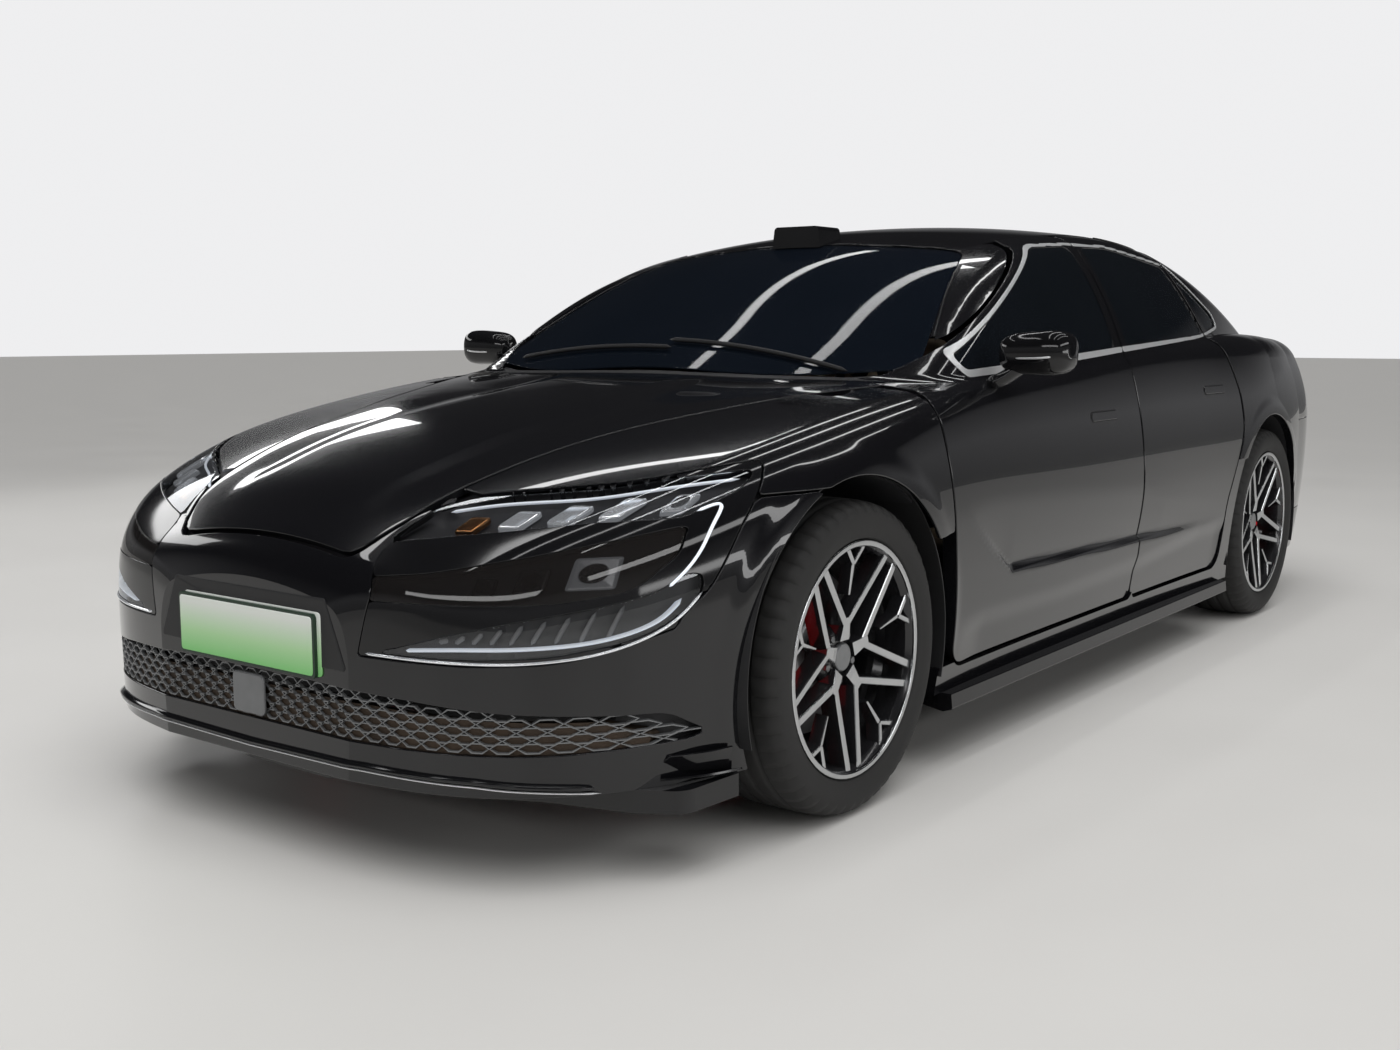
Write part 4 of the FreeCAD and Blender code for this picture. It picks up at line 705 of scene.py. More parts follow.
def flank(ys, zs, side):
    """One side as the outer of the lower and the upper skin, over places along the car and heights."""
    y, z = np.meshgrid(ys, zs[::side], indexing="ij")
    x = np.maximum(reach(y, z, LOWER_AT), reach(y, z, UPPER_AT))
    p = sculpt(np.stack([x, y, z], -1))
    p[..., 0] *= side
    return p


def parts(p):
    """The x, y and z of an array of points."""
    return p[..., 0], p[..., 1], p[..., 2]


def both_in(*terms):
    """Signed distance to what lies in every region: the largest of theirs."""
    return np.maximum.reduce([np.broadcast_to(t, terms[0].shape) for t in terms])


def either(*terms):
    """Signed distance to what lies in any region: the smallest of theirs."""
    return np.minimum.reduce([np.broadcast_to(t, terms[0].shape) for t in terms])


def under_upper(p):
    """Positive where a point lies inside the upper body."""
    x, y, z = parts(p)
    inside = height(x, y, UPPER_AT) - z
    return np.where((y > along(1.06)) & (y < along(2.80)), np.maximum(inside, -0.5), -0.5)


def lamp_distance(x, y, z):
    """Signed distance to the lamp's opening, from its front and side outlines."""
    return both_in(distance(HEADLAMP, np.abs(x), z), distance(LAMP_BACK, y, z))


p = skin(np.linspace(-2.575, -1.09, 120), np.linspace(1.7, 6.3, 105), LOWER_AT)
x, y, z = parts(p)
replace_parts(panel("bonnet_panel", p, distance(BONNET, x, y) + SHUT / 2, "bonnet", "body_paint",
                  [paint, steel], depth=0.018), "bonnet")

p = wrap(-1.62, Y_NOSE, 72, 34, np.linspace(0, 4, 94))
x, y, z = parts(p)
ahead = y < along(0.62)
region = both_in(z - SEAM, SHUT / 2 - distance(BONNET, x, y), FIT - lamp_distance(x, y, z), y - FRONT_AXLE,
                 np.where(ahead, -distance(GRILLE, x, z), -1.0), ARCH - axle_distance(y, z))
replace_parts(panel("front_bumper_skin", p, region, "body", "body_paint", [paint, plastic],
                  depth=0.016), "front_bumper")

for name, side in SIDES:
    p = skin(np.linspace(along(0.28), along(1.21), 118), half_round(0, 4, 98, side), LOWER_AT)
    x, y, z = parts(p)
    at_cowl = both_in(np.abs(x) - 0.749, along(1.08) - GAP - y)
    ahead_of_door = either(y - along(DOOR_EDGE) + GAP, both_in(SILL_TOP - z, z - up(1.80)))
    region = both_in(either(SEAM + GAP - z, FRONT_AXLE - y), SHUT / 2 - distance(BONNET, x, y),
                     SHUT - distance(FRONT_DOOR, y, z), FIT - lamp_distance(x, y, z),
                     ARCH - axle_distance(y, z), ahead_of_door, -at_cowl, under_upper(p))
    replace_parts(panel(f"wing_skin_{name}", p, region, "body", "body_paint", [paint, plastic],
                      depth=0.008), f"wing_{name}")

    for place, outline, window, ends in (("front", FRONT_DOOR, FRONT_WINDOW, (-1.24, 0.21)),
                                         ("rear", REAR_DOOR, REAR_WINDOW, (0.12, 1.18))):
        p = flank(np.linspace(*ends, int((ends[1] - ends[0]) / 0.017)), np.linspace(0.255, 1.458, 104), side)
        x, y, z = parts(p)
        region = both_in(distance(outline, y, z), -distance(window, y, z))
        door = panel(f"door_skin_{place}_{name}", p, region, f"door_{place}_{name}", "body_paint",
                     [paint, soft_dark], depth=0.040)
        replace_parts(door, f"door_{place}_{name}")

# Roof, windscreen, rear window and side glass
p = skin(np.linspace(along(1.38), along(1.91), 90), np.linspace(1.6, 6.4, 81), UPPER_AT, DECK - UPPER_FOOT)
x, y, z = parts(p)
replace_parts(panel("roof_skin", p, distance(ROOF, x, y), "body", "gloss_black", [gloss, soft_dark],
                  depth=0.02), "roof_panel")
for name, outline, node, ends, finish in (
        ("windscreen_pane", WINDSCREEN, "windscreen", (1.06, 1.42), screen_glass),
        ("rear_window_pane", BACK_GLASS, "rear_window", (1.87, 2.56), side_glass)):
    p = skin(np.linspace(along(ends[0]), along(ends[1]), 80), np.linspace(1.4, 6.6, 81), UPPER_AT,
             DECK - UPPER_FOOT)
    x, y, z = parts(p)
    region = both_in(distance(outline, x, y) + 0.002, height(x, y, LOWER_AT) - z)
    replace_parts(panel(name, p, region, "body", "screen_glass" if node == "windscreen" else "tinted_glass",
                      [finish], depth=0.005, roll=0.001, lift=-0.002), node)
for name, side in SIDES:
    for place, window, body, ends in (("front", FRONT_WINDOW, f"door_front_{name}", (-1.1, 0.2)),
                                      ("rear", REAR_WINDOW, f"door_rear_{name}", (0.15, 1.12)),
                                      ("quarter", QUARTER_WINDOW, "body", (0.99, 1.42))):
        p = flank(np.linspace(*ends, int((ends[1] - ends[0]) / 0.02)), np.linspace(0.97, 1.46, 41), side)
        x, y, z = parts(p)
        pane = panel(f"side_pane_{place}_{name}", p, distance(window, y, z) - 0.002, body, "tinted_glass",
                     [side_glass], depth=0.005, roll=0.001, lift=-0.003)
        if place != "quarter":
            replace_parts(pane, f"door_glass_{place}_{name}")
        elif side < 0:
            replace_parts(pane, "quarter_glass")

# Side frames' outer skins, over their solids
for name, side in SIDES:
    p = skin(np.linspace(along(1.10), along(2.62), 236), half_round(1, 4, 66, side), UPPER_AT,
             DECK - UPPER_FOOT)
    x, y, z = parts(p)
    clear = [SHUT - distance(FRONT_DOOR, y, z), SHUT - distance(REAR_DOOR, y, z)]
    region = both_in(*clear, -distance(QUARTER_WINDOW, y, z), -distance(ROOF, x, y) + FIT,
                     -distance(WINDSCREEN, x, y) + FIT, -distance(BACK_GLASS, x, y) + FIT,
                     height(x, y, LOWER_AT) - z, SHUT / 2 - distance(LID, x, y), 0.05 - np.abs(x),
                     np.where(y < along(1.5), SHUT / 2 - distance(BONNET, x, y), -1.0),
                     np.where(y < -1.0, 0.74 - np.abs(x), -1.0))
    panel(f"roof_rail_{name}", p, region, "body", "body_paint", [paint], depth=0.004, back=False, lift=LIFT)
    p = skin(np.linspace(along(DOOR_EDGE), Y_TAIL - 0.02, 260), half_round(0, 3.6, 112, side), LOWER_AT)
    x, y, z = parts(p)
    in_bumper = both_in(along(2.40) - GAP - y, z - BUMPER_TOP - GAP)
    in_lamp = both_in(along(2.70) - y, LAMP_BAND[0] - FIT - z, z - LAMP_BAND[1] - FIT)
    region = both_in(SHUT - distance(FRONT_DOOR, y, z), SHUT - distance(REAR_DOOR, y, z), under_upper(p),
                     ARCH - axle_distance(y, z), -in_bumper, -in_lamp, SHUT / 2 - distance(LID, x, y),
                     either(z - SILL_TOP, along(1.202) - y),
                     np.where(y > along(2.2), 0.60, 0.745) - np.abs(x))
    panel(f"side_skin_{name}", p, region, "body", "body_paint", [paint], depth=0.004, back=False, lift=LIFT)

# Tail
p = skin(np.linspace(along(2.5), Y_TAIL - 0.005, 66), np.linspace(2.0, 6.0, 91), LOWER_AT)
x, y, z = parts(p)
region = both_in(distance(LID, x, y) + SHUT / 2, LID_FOOT + SHUT / 2 - z, under_upper(p))
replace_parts(panel("boot_lid_skin", p, region, "boot_lid", "body_paint", [paint, steel],
                  depth=0.018), "boot_lid")
region = both_in(y - along(2.56), SHUT / 2 - distance(LID, x, y), np.abs(x) - 0.66, under_upper(p))
panel("rear_deck_skin", p, region, "body", "body_paint", [paint], depth=0.004, back=False, lift=0.0015)
p = wrap(along(2.38), Y_TAIL, 60, 30, np.linspace(0, 3.9, 86))
x, y, z = parts(p)
lamp = both_in(along(2.70) - y, LAMP_BAND[0] - z, z - LAMP_BAND[1])
plate_room = both_in(distance(REAR_PLATE, x, z), 2.5 - y)
whole = both_in(along(2.40) - y, either(z - BUMPER_TOP, both_in(z - LID_FOOT, np.abs(x) - 0.745 + GAP)),
                ARCH - axle_distance(y, z), FIT - lamp)
foot_line = z - 0.375 - 0.05 * smooth(0.25, 0.55, np.abs(x)) * (y > 2.45)
region = both_in(whole, FIT - plate_room, FIT - foot_line)
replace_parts(panel("rear_bumper_skin", p, region, "body", "body_paint", [paint, plastic],
                  depth=0.016), "rear_bumper")
panel("rear_apron", p, both_in(whole, foot_line), "body", "gloss_black", [gloss, plastic], depth=0.016)
panel("rear_plate_recess", p, plate_room, "body", "black_plastic", [plastic], depth=0.004, back=False,
      lift=-0.010)
panel("rear_plate", p, plate_room + 0.012, "body", "plate", [plate_paint], depth=0.002, back=False,
      lift=-0.007)
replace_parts(panel("tail_lamp_band", p, lamp, "body", "lamp_red", [tail_red], depth=0.016, back=False),
            "tail_lamps")


# Nose: lamps, grille, plate

def nose_y(x, z):
    """Place along the car where the front of the lower body stands over (x, z), by halving the interval."""
    near, far = np.full(x.shape, Y_NOSE), np.full(x.shape, -1.75)
    for _ in range(26):
        middle = (near + far) / 2
        inside = (reach(middle, z, LOWER_AT) > np.abs(x)) & (height(x, middle, LOWER_AT) > z)
        near, far = np.where(inside, near, middle), np.where(inside, middle, far)
    return far


def on_nose(x, z, deep=0.0):
    """Points of the front over (x, z), pressed in along its normal."""
    x, z = np.asarray(x, float), np.asarray(z, float)
    step = 0.004
    y = nose_y(x, z)
    slope_x = (nose_y(x + step, z) - nose_y(x - step, z)) / (2 * step)
    slope_z = (nose_y(x, z + step) - nose_y(x, z - step)) / (2 * step)
    inwards = unit(np.stack([-slope_x, np.ones_like(x), -slope_z], -1))
    return np.stack([x, y, z], -1) + inwards * np.asarray(deep, float)[..., None]


def through(points, count=60):
    """A smooth line through points: a cubic on their distance along the chain."""
    p = np.array(points, float)
    at = np.concatenate([[0], np.cumsum(np.linalg.norm(np.diff(p, axis=0), axis=1))])
    return spline(at, p)(np.linspace(0, at[-1], count))


def tube(name, path, half_wide, half_high, body, slot, finish, sides=12):
    """An oval bar along a path, with round ends: near each end its half sizes shrink as a circle's do."""
    path = np.asarray(path, float)
    run = unit(np.gradient(path, axis=0))
    across = unit(np.cross(run, (0, 0, 1.0)))
    over = np.cross(run, across)
    share = np.linspace(0, 1, len(path))
    length = np.linalg.norm(np.diff(path, axis=0), axis=1).sum()
    end = np.minimum(share, 1 - share) * length / half_wide
    size = np.sqrt(np.clip(1 - (1 - np.clip(end, 0, 1)) ** 2, 1e-4, 1))
    turn = np.linspace(0, 2 * math.pi, sides, endpoint=False)
    p = path[:, None] + size[:, None, None] * (half_wide * np.cos(turn)[None, :, None] * across[:, None]
                                               + half_high * np.sin(turn)[None, :, None] * over[:, None])
    return make(name, p.reshape(-1, 3), ring_faces(len(path), sides), body, slot, [finish])


def slab(name, outline, place, deep, body, slot, finish, bevel=0.002):
    """A plate from a closed outline: place puts (u, v, d) in space, d from the back to the front. The front
    edge is a quarter round, made of the outline pulled in along its own normals."""
    edge = np.roll(outline, -1, 0) - np.roll(outline, 1, 0)
    side = unit(np.stack([edge[:, 1], -edge[:, 0]], -1))
    area = (outline[:, 0] * np.roll(outline[:, 1], -1) - np.roll(outline[:, 0], -1) * outline[:, 1]).sum()
    if area < 0:
        outline, side = outline[::-1], -side[::-1]
    layers = [(0.0, 0.0), (0.0, deep - bevel)]
    layers += [(bevel * (1 - math.cos(a)), deep - bevel * (1 - math.sin(a))) for a in QUARTER_ROUND]
    rings = [place(outline[:, 0] - side[:, 0] * inset, outline[:, 1] - side[:, 1] * inset,
                   np.full(len(outline), high)) for inset, high in layers]
    faces = ring_faces(len(rings), len(outline))
    middle, step = outline.mean(0), np.eye(4, 3, -1) * 0.001
    q = place(middle[0] + step[:, 0], middle[1] + step[:, 1], step[:, 2])
    if np.dot(np.cross(q[1] - q[0], q[2] - q[0]), q[3] - q[0]) < 0:
        faces = [face[::-1] for face in faces]
    return make(name, np.concatenate(rings), faces, body, slot, [finish], smooth=False)


nose_grid = wrap(-1.80, Y_NOSE, 94, 4, np.linspace(0.7, 3.5, 118))


def lamp_panel(name, outside, slot, finish, deep=0.0, depth=0.002):
    """A piece of both lamps on the nose's own skin, pressed in by deep; outside is its region over the
    skin."""
    return panel(name, nose_grid, outside, "body", slot, [finish], depth=depth, roll=0.0012, back=False,
                 lift=-deep)


UPPER_POD = [(0.372, 0.697, 0.004), (0.570, 0.722, 0.3), (0.741, 0.744, 0.3), (0.868, 0.750, 0.02),
             (0.905, 0.800, 0.03), (0.893, 0.836, 0.02), (0.800, 0.824, 0.2), (0.700, 0.803, 0.4),
             (0.460, 0.782, 0.05), (0.402, 0.760, 0.03)]
LOWER_POD = [(0.330, 0.583, 0.01), (0.480, 0.586, 0.4), (0.747, 0.592, 0.3), (0.845, 0.612, 0.06),
             (0.884, 0.680, 0.05), (0.880, 0.736, 0.01), (0.800, 0.712, 0.3), (0.690, 0.684, 0.5),
             (0.500, 0.645, 0.5), (0.330, 0.628, 0.02)]
SMILE = [(0.390, 0.479, 0.004), (0.624, 0.481, 0.4), (0.745, 0.487, 0.3), (0.835, 0.508, 0.15),
         (0.882, 0.536, 0.1), (0.916, 0.600, 0.08), (0.905, 0.650, 0.01), (0.888, 0.632, 0.04),
         (0.868, 0.604, 0.06), (0.800, 0.582, 0.3), (0.680, 0.556, 0.4), (0.570, 0.529, 0.4),
         (0.460, 0.497, 0.2)]
# Lines of a lamp, as (x, z) on the nose: how deep they lie under its skin, half sizes of the bar, its finish
LIGHT_LINES = (
    ("day_light", [(0.425, 0.762), (0.50, 0.776), (0.70, 0.796), (0.80, 0.815), (0.885, 0.826)],
     0.014, 0.0035, 0.0035, light_guide),
    ("corner_light", [(0.876, 0.760), (0.893, 0.772), (0.903, 0.735), (0.903, 0.694), (0.893, 0.646),
                      (0.880, 0.616)], -0.001, 0.0045, 0.003, light_guide),
    ("smile_light", [(0.47, 0.490), (0.60, 0.500), (0.745, 0.506), (0.832, 0.522), (0.876, 0.550),
                     (0.896, 0.590)], 0.010, 0.009, 0.004, light_guide),
    ("lamp_rim", [(0.375, 0.476), (0.520, 0.474), (0.624, 0.474), (0.745, 0.479), (0.832, 0.500),
                  (0.885, 0.540), (0.912, 0.600)], 0.0, 0.0035, 0.003, glowing_chrome))
# Reflectors (x, z, width, height) and projectors (x, z, half size)
REFLECTORS = ((0.50, 0.742, 0.055, 0.030), (0.585, 0.754, 0.060, 0.032), (0.672, 0.766, 0.060, 0.032),
              (0.757, 0.779, 0.055, 0.036))
PROJECTORS = ((0.842, 0.786, 0.017), (0.79, 0.652, 0.034), (0.70, 0.640, 0.026), (0.62, 0.628, 0.020))
FINS, FIN_FOOT = 9, 0.512
circle_turn = np.linspace(0, 2 * math.pi, 28, endpoint=False)
x, y, z = parts(nose_grid)
whole = lamp_distance(x, y, z)
upper, lower, smile = [both_in(distance(rounded(pod), np.abs(x), z), whole + 0.001)
                       for pod in (UPPER_POD, LOWER_POD, SMILE)]
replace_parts(lamp_panel("lamp_body", whole, "gloss_black", lamp_dark, deep=0.030, depth=0.004), "headlamps")
lamp_panel("lamp_blade", both_in(whole + 0.0015, -upper, -lower, -smile), "gloss_black", gloss, depth=0.022)
lamp_panel("lamp_cover_upper", upper + 0.0005, "lamp_clear", clear_cover, deep=0.001)
lamp_panel("lamp_cover_lower", lower + 0.0005, "lamp_clear", smoked_cover, deep=0.001)
lamp_panel("lamp_cover_smile", smile + 0.0005, "lamp_clear", clear_cover, deep=0.001)
for name, side in SIDES:
    flip = np.array((side, 1, 1))

    def line(points, deep, count=50):
        """A smooth line over (x, z) points of the nose, deep under its skin."""
        flat = through(points, count)
        return on_nose(flat[:, 0], flat[:, 1], deep) * flip

    for key, points, deep, half_wide, half_high, finish in LIGHT_LINES:
        tube(f"{key}_{name}", line(points, deep), half_wide, half_high, "body", "lamp_clear", finish)

    def pocket(x0, z0, deep):
        """Puts (u, v, d) about a point of the nose, d forward of a floor that lies deep under its skin."""
        return lambda u, v, d: on_nose(x0 + u, z0 + v, deep - d) * flip

    for k, (x0, z0, wide, high) in enumerate(REFLECTORS):
        lean = [(-wide / 2, -high / 2, 0.006), (wide / 2 - 0.012, -high / 2, 0.006),
                (wide / 2, high / 2, 0.006), (-wide / 2 + 0.012, high / 2, 0.006)]
        slab(f"reflector_{k}_{name}", rounded(lean), pocket(x0, z0, 0.024), 0.012, "body", "lamp_clear",
             copper if k == 0 else glowing_chrome, 0.004)
    for k, (x0, z0, half) in enumerate(PROJECTORS):
        slab(f"projector_{k}_{name}", rectangle(half, -half, half, 0.006), pocket(x0, z0, 0.028), 0.016,
             "body", "lamp_clear", glowing_chrome if k < 2 else lamp_dark, 0.006)
        eye = 0.6 * half
        disc = np.stack([eye * np.cos(circle_turn), eye * np.sin(circle_turn)], -1)
        slab(f"projector_eye_{k}_{name}", disc, pocket(x0, z0, 0.013), 0.006, "body", "lamp_clear",
             smoked_cover, 0.003)
    for k in range(FINS):
        foot = 0.545 + 0.034 * k
        top_z = np.interp(foot + 0.02, (0.50, 0.68, 0.80, 0.87), (0.507, 0.553, 0.580, 0.602)) - 0.006
        tube(f"lamp_fin_{k}_{name}", line([(foot, FIN_FOOT), (foot + 0.02, top_z)], 0.012, 8), 0.0016, 0.005,
             "body", "lamp_clear", mesh_grey)

# Hexagon mesh over the grille's core
pitch, rise_z = 0.046, 0.0165
column, row = np.meshgrid(np.arange(-22, 23), np.arange(0, 9), indexing="ij")
cx = (column + 0.5 * (row % 2)) * pitch
cz = 0.285 + row * rise_z
inside = distance(GRILLE, cx, cz) < -0.004
cx, cz = cx[inside], cz[inside]
hexagon = np.array([(-0.5, 0), (-0.22, -0.5), (0.22, -0.5), (0.5, 0), (0.22, 0.5), (-0.22, 0.5)])
cells = []
for inset, deep in ((0.0, 0.002), (0.0025, 0.002), (0.0035, 0.010), (-0.001, 0.010)):
    size = np.array((pitch * 1.02 - 2 * inset, rise_z * 1.34 - 2 * inset))
    u, v = cx[:, None] + hexagon[:, 0] * size[0], cz[:, None] + hexagon[:, 1] * size[1]
    cells.append(on_nose(u, v, deep))
cells = np.stack(cells, 1)
ids = np.arange(cells.shape[0] * 24).reshape(-1, 4, 6)
after = np.roll(ids, -1, 2)
struts = np.concatenate([np.stack([ids[:, k], after[:, k], after[:, (k + 1) % 4], ids[:, (k + 1) % 4]], -1)
                         .reshape(-1, 4) for k in range(4)])
make("grille_mesh", cells.reshape(-1, 3), struts.tolist(), "body", "black_plastic", [mesh_grey], smooth=False)


PLATE_BACK = -2.5965


def facing(u, v, d):
    """Places (u, v) across the nose and up, d forward of the plate's back."""
    return np.stack([u, PLATE_BACK - d, v], -1)


plate_outline = rectangle(0.238, 0.405, 0.543, 0.010)
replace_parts(slab("plate_border", plate_outline, facing, 0.0105, "body", "plate", plate_edge, 0.0015),
            "number_plate")
slab("plate_face", rectangle(0.232, 0.411, 0.537, 0.008), facing, 0.012, "body", "plate", plate_paint, 0.001)
slab("plate_backing", plate_outline + (0.012, 0.004), lambda u, v, d: facing(u, v, d - 0.004), 0.006, "body",
     "plate", plate_paint, 0.001)
slab("plate_bracket", rounded([(-0.325, 0.430, 0.008), (0.325, 0.430, 0.008), (0.262, 0.578, 0.010),
                               (-0.262, 0.578, 0.010)]),
     lambda u, v, d: on_nose(u, v, 0.004 - d), 0.007, "body", "gloss_black", plastic, 0.003)
slab("radar_cover", rectangle(0.055, 0.294, 0.386, 0.014), facing, 0.006, "body", "black_plastic", mesh_grey,
     0.004)


# Wheels

def polar(side, axle):
    """Places by (out, radius, angle) about a wheel's axle: out from the tyre's middle, angle from rearward
    up."""
    def place(out, radius, angle):
        out, radius, angle = np.broadcast_arrays(out, radius, angle)
        return np.stack([side * (WHEEL_X + out), axle + radius * np.cos(angle),
                         HUB_Z + radius * np.sin(angle)], -1)
    return place


def turned(name, profile, place, side, body, slot, finish, angles=None, radius_of=None):
    """A closed profile (out, radius) carried round the axle; radius_of changes the radii over the grid."""
    angles = np.linspace(0, 2 * math.pi, 72, endpoint=False) if angles is None else angles
    out, radius = np.array(profile).T
    area = (out * np.roll(radius, -1) - np.roll(out, -1) * radius).sum()
    if (area > 0) == (side > 0):
        out, radius = out[::-1], radius[::-1]
    out, radius = np.repeat(out[:, None], len(angles), 1), np.repeat(radius[:, None], len(angles), 1)
    if radius_of is not None:
        radius = radius_of(out, radius)
    p = place(out, radius, angles)
    i = np.arange(p.shape[0] * p.shape[1]).reshape(p.shape[:2])
    down, along_i = np.roll(i, -1, 0), np.roll(i, -1, 1)
    quads = np.stack([i, along_i, np.roll(down, -1, 1), down], -1).reshape(-1, 4)
    return make(name, p.reshape(-1, 3), quads.tolist(), body, slot, [finish])


def softened(corners, r):
    """A closed (out, radius) profile in millimetres with its corners rounded to r, in metres."""
    return rounded([(a / MM, b / MM, r / MM) for a, b in corners], 3)


def beams(name, runs, place, side, body, slot):
    """Straight spokes. Each run goes from (radius, angle, half width) to another; its section is a machined
    face with narrow chamfers and dark flanks that spread towards the back, its face at the wheel's own
    dish."""
    points, faces, marks = [], [], []
    for (r0, a0, w0), (r1, a1, w1), depth, sink in runs:
        start = np.array((r0 * math.cos(a0), r0 * math.sin(a0)))
        stop = np.array((r1 * math.cos(a1), r1 * math.sin(a1)))
        t = np.linspace(0, 1, 14)[:, None]
        centre = start + (stop - start) * t
        across = np.array((-(stop - start)[1], (stop - start)[0])) / np.linalg.norm(stop - start)
        half = w0 + (w1 - w0) * t
        rows = []
        for u, spread, drop in ((-1, -0.0018, 0), (1, -0.0018, 0), (1, 0, 0.0018), (1, 0.002, 0.012),
                                (1, 0.005, depth), (-1, 0.005, depth), (-1, 0.002, 0.012), (-1, 0, 0.0018)):
            q = centre + across * u * (half + spread)
            radius = np.hypot(q[:, 0], q[:, 1])
            face = np.interp(radius, (0, 0.060, 0.259), (0.074, 0.086, 0.112)) - sink
            rows.append(np.stack([face - drop, radius, np.arctan2(q[:, 1], q[:, 0])], -1))
        grid = np.stack(rows, 1)
        first = sum(len(p) for p in points)
        points.append(place(grid[..., 0], grid[..., 1], grid[..., 2]).reshape(-1, 3))
        faces += ring_faces(*grid.shape[:2], first, -side)
        marks += [0, 0, 1, 1, 1, 1, 1, 0] * (len(grid) - 1) + [1, 1]
    return make(name, np.concatenate(points), faces, body, slot, [machined, dark_alloy], smooth=False,
                face_finish=marks)


def arc_block(name, place, side, middle, half_angle, body):
    """A caliper: a rounded section (out, radius) carried along an arc over the disc, its size falling as a
    quarter ellipse at both ends, with a raised rib in the middle of its outer face."""
    share = np.linspace(-1, 1, 41)
    section = softened([(-83, 139), (34, 139), (34, 212), (14, 227), (-70, 227), (-83, 214)], 9)
    centre = np.array((-0.032, 0.185))
    end = np.clip((np.abs(share) - 0.86) / 0.14, 0, 1)
    size = np.sqrt(1 - 0.72 * end ** 2)
    p = centre + (section[None] - centre) * size[:, None, None]
    face = p[..., 0] > 0.026
    p[..., 0] -= np.where(face & (np.abs(np.abs(share)[:, None] - 0.45) < 0.13), 0.0035, 0)
    angle = middle + half_angle * share
    q = place(p[..., 0], p[..., 1], angle[:, None])
    return make(name, q.reshape(-1, 3), ring_faces(*q.shape[:2], side=side), body, "chassis_alloy",
                [caliper_painted_glow])


TYRE_HALF = [(105, 262), (107, 272), (110, 281), (119, 283), (123, 287), (124, 293), (127, 300), (129.5, 310),
             (130.8, 320), (130.4, 332), (128, 343), (123, 352), (116, 359.5), (107, 364.5), (97, 367.5),
             (86, 369.4), (74, 370.6), (72.8, 370.4), (71.6, 364.5), (63.4, 364.5), (62.2, 371.0),
             (50, 371.6), (30.2, 371.9), (29.0, 371.6), (27.8, 364.8), (19.2, 364.8), (18.0, 371.8), (6, 372)]
tyre_profile = np.array(TYRE_HALF + [(-o, r) for o, r in reversed(TYRE_HALF)]) / MM
PITCHES, pitch_share = 52, np.array((0.0, 0.44, 0.47, 0.53))
tyre_angles = ((np.arange(PITCHES)[:, None] + pitch_share) / PITCHES * 2 * math.pi).ravel()
in_sipe = np.tile(np.array((0, 0, 1, 1)), PITCHES)


def sipes(out, radius):
    """Lowers the radius in the cuts across the shoulders."""
    shoulder = (np.abs(out) > 0.080) & (np.abs(out) < 0.1235) & (radius > 0.345)
    return radius - np.where(shoulder, 0.005 * in_sipe, 0)


BARREL = softened([(-121, 279), (-121, 271), (-100, 255), (-60, 239), (25, 239), (45, 252), (100, 256),
                   (116, 267), (116, 279), (112, 279), (109, 266), (40, 266), (25, 250), (-60, 250),
                   (-95, 266), (-109, 266), (-112, 279)], 1.2)
TURNED = (
    ("rim_lip", [(112, 266), (119, 266), (121, 269), (121, 277.5), (119.5, 279.6), (112, 279.6)], 0.9,
     "rim_alloy", machined),
    ("hub", [(18, 20), (18, 78), (52, 77), (64, 64), (69, 50), (70, 20)], 3, "rim_alloy", dark_alloy),
    ("hub_cap", [(60, 0.5), (60, 34), (76, 34), (79.5, 31), (80, 0.5)], 0.4, "rim_alloy", cap_grey),
    ("brake_disc", [(-12, 96), (-12, 195), (-20, 195), (-20, 187), (-36, 187), (-36, 195), (-44, 195),
                    (-44, 96)], 0.8, "chassis_alloy", disc_iron),
    ("disc_hat", [(-30, 40), (-30, 111), (16, 110), (20, 104), (20, 40)], 2, "chassis_alloy", cast))
SPOKES, BOLT_CIRCLE, CALIPER_HALF = 5, 0.057, math.radians(34)
